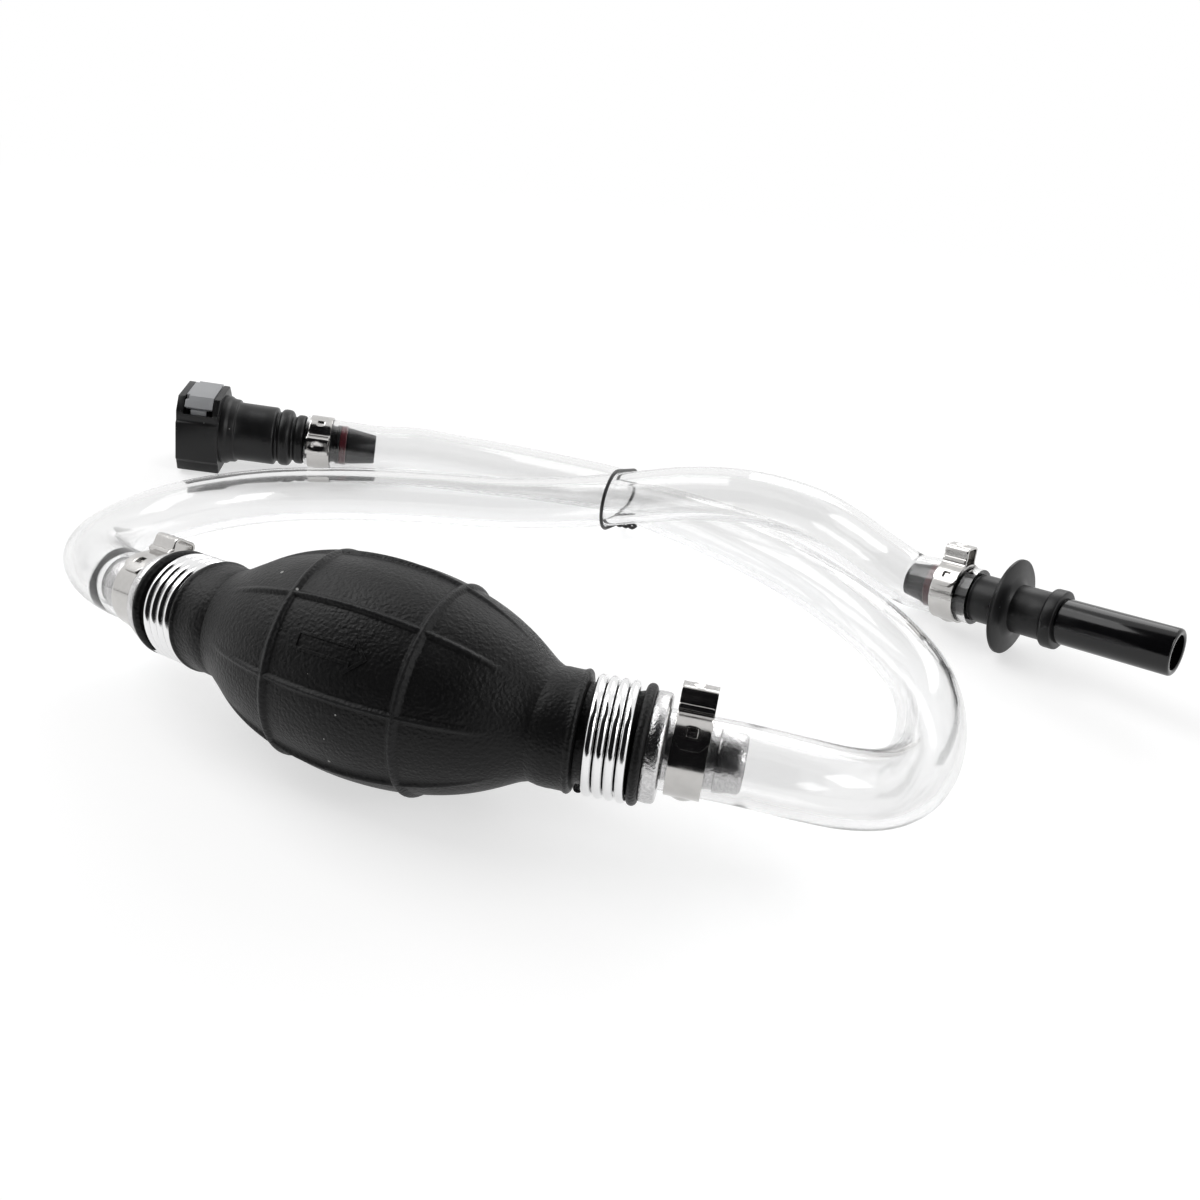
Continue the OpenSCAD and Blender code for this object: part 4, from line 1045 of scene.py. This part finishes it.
outlet_route = [
    (0.059228, 0.003681, 0.023105), (0.067106, 0.005071, 0.023105), (0.074492, 0.006373, 0.023105),
    (0.0850, 0.0086, 0.0224), (0.0930, 0.0128, 0.0204), (0.0995, 0.0195, 0.0178),
    (0.1038, 0.0285, 0.0150), (0.1063, 0.0390, 0.0123), (0.1075, 0.0500, 0.0102),
    (0.1075, 0.0620, 0.0088), (0.1060, 0.0740, 0.0081), (0.1025, 0.0855, 0.0080),
    (0.0965, 0.0960, 0.0080), (0.0885, 0.1060, 0.0080), (0.0780, 0.1160, 0.0080),
    (0.0650, 0.1260, 0.0080), (0.0500, 0.1347, 0.0080), (0.0340, 0.1417, 0.0080),
    (0.0170, 0.1468, 0.0084), (0.0050, 0.1489, 0.0091), (-0.0070, 0.1499, 0.0093),
    (-0.0200, 0.1503, 0.0088), (-0.0400, 0.1493, 0.0084), (-0.0580, 0.1462, 0.0085),
    (-0.0720, 0.1418, 0.0093), (-0.085210, 0.136013, 0.008872), (-0.094625, 0.131421, 0.009605),
    (-0.105563, 0.126086, 0.010456),
]


def flowing(points, parts=6):
    """A smooth line through the points, with a few steps from each to the next."""
    points = [Vector(p) for p in points]
    ends = [2 * points[0] - points[1]] + points + [2 * points[-1] - points[-2]]
    line = []
    for a, b, c, d in zip(ends, ends[1:], ends[2:], ends[3:]):
        ta = 0.0
        tb = ta + (b - a).length ** 0.5
        tc = tb + (c - b).length ** 0.5
        td = tc + (d - c).length ** 0.5
        for i in range(parts):
            t = tb + (tc - tb) * i / parts
            ab = a * ((tb - t) / (tb - ta)) + b * ((t - ta) / (tb - ta))
            bc = b * ((tc - t) / (tc - tb)) + c * ((t - tb) / (tc - tb))
            cd = c * ((td - t) / (td - tc)) + d * ((t - tc) / (td - tc))
            abc = ab * ((tc - t) / (tc - ta)) + bc * ((t - ta) / (tc - ta))
            bcd = bc * ((td - t) / (td - tb)) + cd * ((t - tb) / (td - tb))
            line.append(abc * ((tc - t) / (tc - tb)) + bcd * ((t - tb) / (tc - tb)))
    return line + [points[-1]]


def hose_piece(name, line, sides=56):
    """A hollow hose on the line, its bore stretched where a stem fills it."""
    count = len(line)
    across = Vector((0, 0, 1))
    along = 0.0
    outer, inner = [], []
    for i, centre in enumerate(line):
        heading = (line[min(i + 1, count - 1)] - line[max(i - 1, 0)]).normalized()
        across = (across - heading * across.dot(heading)).normalized()
        beside = heading.cross(across)
        if i:
            along += (centre - line[i - 1]).length
        on_stem = i < stem_rings or i >= count - stem_rings
        for rings, radius in ((outer, hose_radius), (inner, stem_bore if on_stem else hose_bore)):
            ring = []
            for k in range(sides):
                c, s = math.cos(2 * math.pi * k / sides), math.sin(2 * math.pi * k / sides)
                place = centre + (across * c + beside * s) * radius
                ring.append((place, (along, c * radius, s * radius)))
            rings.append(ring)
    loops = outer + inner[::-1]
    vertices = [place for loop in loops for place, mark in loop]
    marks = [mark for loop in loops for place, mark in loop]
    faces = []
    for i in range(len(loops)):
        j = (i + 1) % len(loops)
        for k in range(sides):
            m = (k + 1) % sides
            faces.append((i * sides + k, j * sides + k, j * sides + m, i * sides + m))
    mesh = bpy.data.meshes.new(name)
    mesh.from_pydata(vertices, [], faces)
    flow = mesh.attributes.new("flow", "FLOAT_VECTOR", "POINT")
    for i, mark in enumerate(marks):
        flow.data[i].vector = mark
    piece = bpy.data.objects.new(name, mesh)
    bpy.context.collection.objects.link(piece)
    only(piece)
    bpy.ops.object.mode_set(mode="EDIT")
    bpy.ops.mesh.select_all(action="SELECT")
    bpy.ops.mesh.normals_make_consistent(inside=False)
    bpy.ops.object.mode_set(mode="OBJECT")
    smooth(piece, 50)
    return piece


clear_vinyl, tree = new_material("clear vinyl")
lying = add_node(tree, "ShaderNodeAttribute", attribute_name="flow")
drawn = add_node(
    tree, "ShaderNodeMapping", {"Vector": lying.outputs["Vector"], "Scale": (12.0, 300.0, 300.0)}
)
streaks = add_node(
    tree, "ShaderNodeTexNoise", {"Vector": drawn.outputs[0], "Scale": 1.0, "Detail": 1.0}
)
swell = add_node(
    tree, "ShaderNodeTexNoise", {"Vector": drawn.outputs[0], "Scale": 0.3, "Detail": 0.0}
)
grain = place_group(tree, grain_group, Pebble_Scale=900.0, Fine_Scale=3500.0, Mottle_Scale=45.0)
rough = uneven_gloss(tree, grain, 0.02, 0.10)
waves = add_node(
    tree, "ShaderNodeMath", {0: swell.outputs["Fac"], 1: 3.0, 2: streaks.outputs["Fac"]},
    operation="MULTIPLY_ADD",
)
bump = relief(tree, waves.outputs[0], 0.035, 0.0003)
shader = add_node(
    tree, "ShaderNodeBsdfPrincipled",
    {
        "Base Color": (0.905, 0.905, 0.905, 1), "Roughness": rough, "Normal": bump,
        "Transmission Weight": 1.0, "IOR": 1.46,
    },
)
path = add_node(tree, "ShaderNodeLightPath")
through = add_node(tree, "ShaderNodeBsdfTransparent", {"Color": (0.93, 0.935, 0.94, 1)})
mixed = add_node(
    tree, "ShaderNodeMixShader",
    {0: path.outputs["Is Shadow Ray"], 1: shader.outputs[0], 2: through.outputs[0]},
)
add_node(tree, "ShaderNodeOutputMaterial", {"Surface": mixed.outputs[0]})

# --------------------------------------------------------------- twist tie
# A plastic-covered wire once round both hoses, its ends twisted into a short
# pigtail between them.
tie_x, tie_near, tie_far = 0.0005, (0.1332, 0.0137), (0.1494, 0.0092)
tie_radius, strand_radius, strand_step, strand_start = 0.00055, 0.00072, 0.00025, 0.0009
tie_lean = math.atan2(tie_far[1] - tie_near[1], tie_far[0] - tie_near[0])
near_r, far_r = 0.0091, 0.00855
root = Vector((tie_x, 0.1390, 0.0037))
tail = Vector((0.97, 0.12, 0.02)).normalized()
tail_u = tail.cross(Vector((0, 0, 1))).normalized()
tail_v = tail.cross(tail_u)


def tie_arc(centre, radius, start, end, steps):
    """The wire's way round one hose, across the hoses."""
    points = []
    for i in range(steps + 1):
        angle = start + (end - start) * i / steps
        y, z = centre[0] + radius * math.cos(angle), centre[1] + radius * math.sin(angle)
        points.append(Vector((tie_x, y, z)))
    return points


def pigtail(phase):
    """One of the two twisted ends."""
    points = []
    for i in range(25):
        angle = phase + i * math.pi / 8
        round_core = (tail_u * math.cos(angle) + tail_v * math.sin(angle)) * strand_radius
        points.append(root + tail * (strand_start + i * strand_step) + round_core)
    return points


tie_line = (
    pigtail(math.pi)[::-1]
    + tie_arc(tie_far, far_r, tie_lean - math.pi / 2, tie_lean + math.pi / 2, 30)
    + tie_arc(tie_near, near_r, tie_lean + math.pi / 2, tie_lean + 1.5 * math.pi, 30)
    + pigtail(0.0)
)
tie = wire_piece("twist_tie", tie_line, tie_radius, sides=3)
black_cover, tree = new_material("black tie cover")
grain = place_group(tree, grain_group, Pebble_Scale=1800.0, Fine_Scale=5000.0, Mottle_Scale=400.0)
tone = two_tones(tree, grain.outputs["Mottle"], (0.005, 0.005, 0.005, 1), (0.012, 0.012, 0.012, 1))
bump = relief(tree, grain.outputs["Height"], 0.2, 0.00006)
surface(tree, Base_Color=tone, Roughness=0.38, Normal=bump)
tie.data.materials.append(black_cover)
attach(tie, "pump")
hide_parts("hose_tie")

# The hoses are made last, and the pieces that each carries are listed with it
male_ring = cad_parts["male_stem_ring"]
on_inlet_hose = [male_body, male_tube, clamps["male_clamp_strap"], male_ring, tie]
coupling_rings = (
    "connector_seal_outer", "connector_spacer", "connector_seal_inner", "connector_stem_ring"
)
on_outlet_hose = [quick_body, button, clamps["quick_clamp"]]
on_outlet_hose += [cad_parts[node] for node in coupling_rings]
for name, route, node, others in (
    ("inlet_clear_hose", inlet_route, "inlet_hose", on_inlet_hose),
    ("outlet_clear_hose", outlet_route, "outlet_hose", on_outlet_hose),
):
    line = flowing(route)
    hose = hose_piece(name, line)
    hose.data.materials.append(clear_vinyl)
    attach(hose, "pump")
    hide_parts(node)
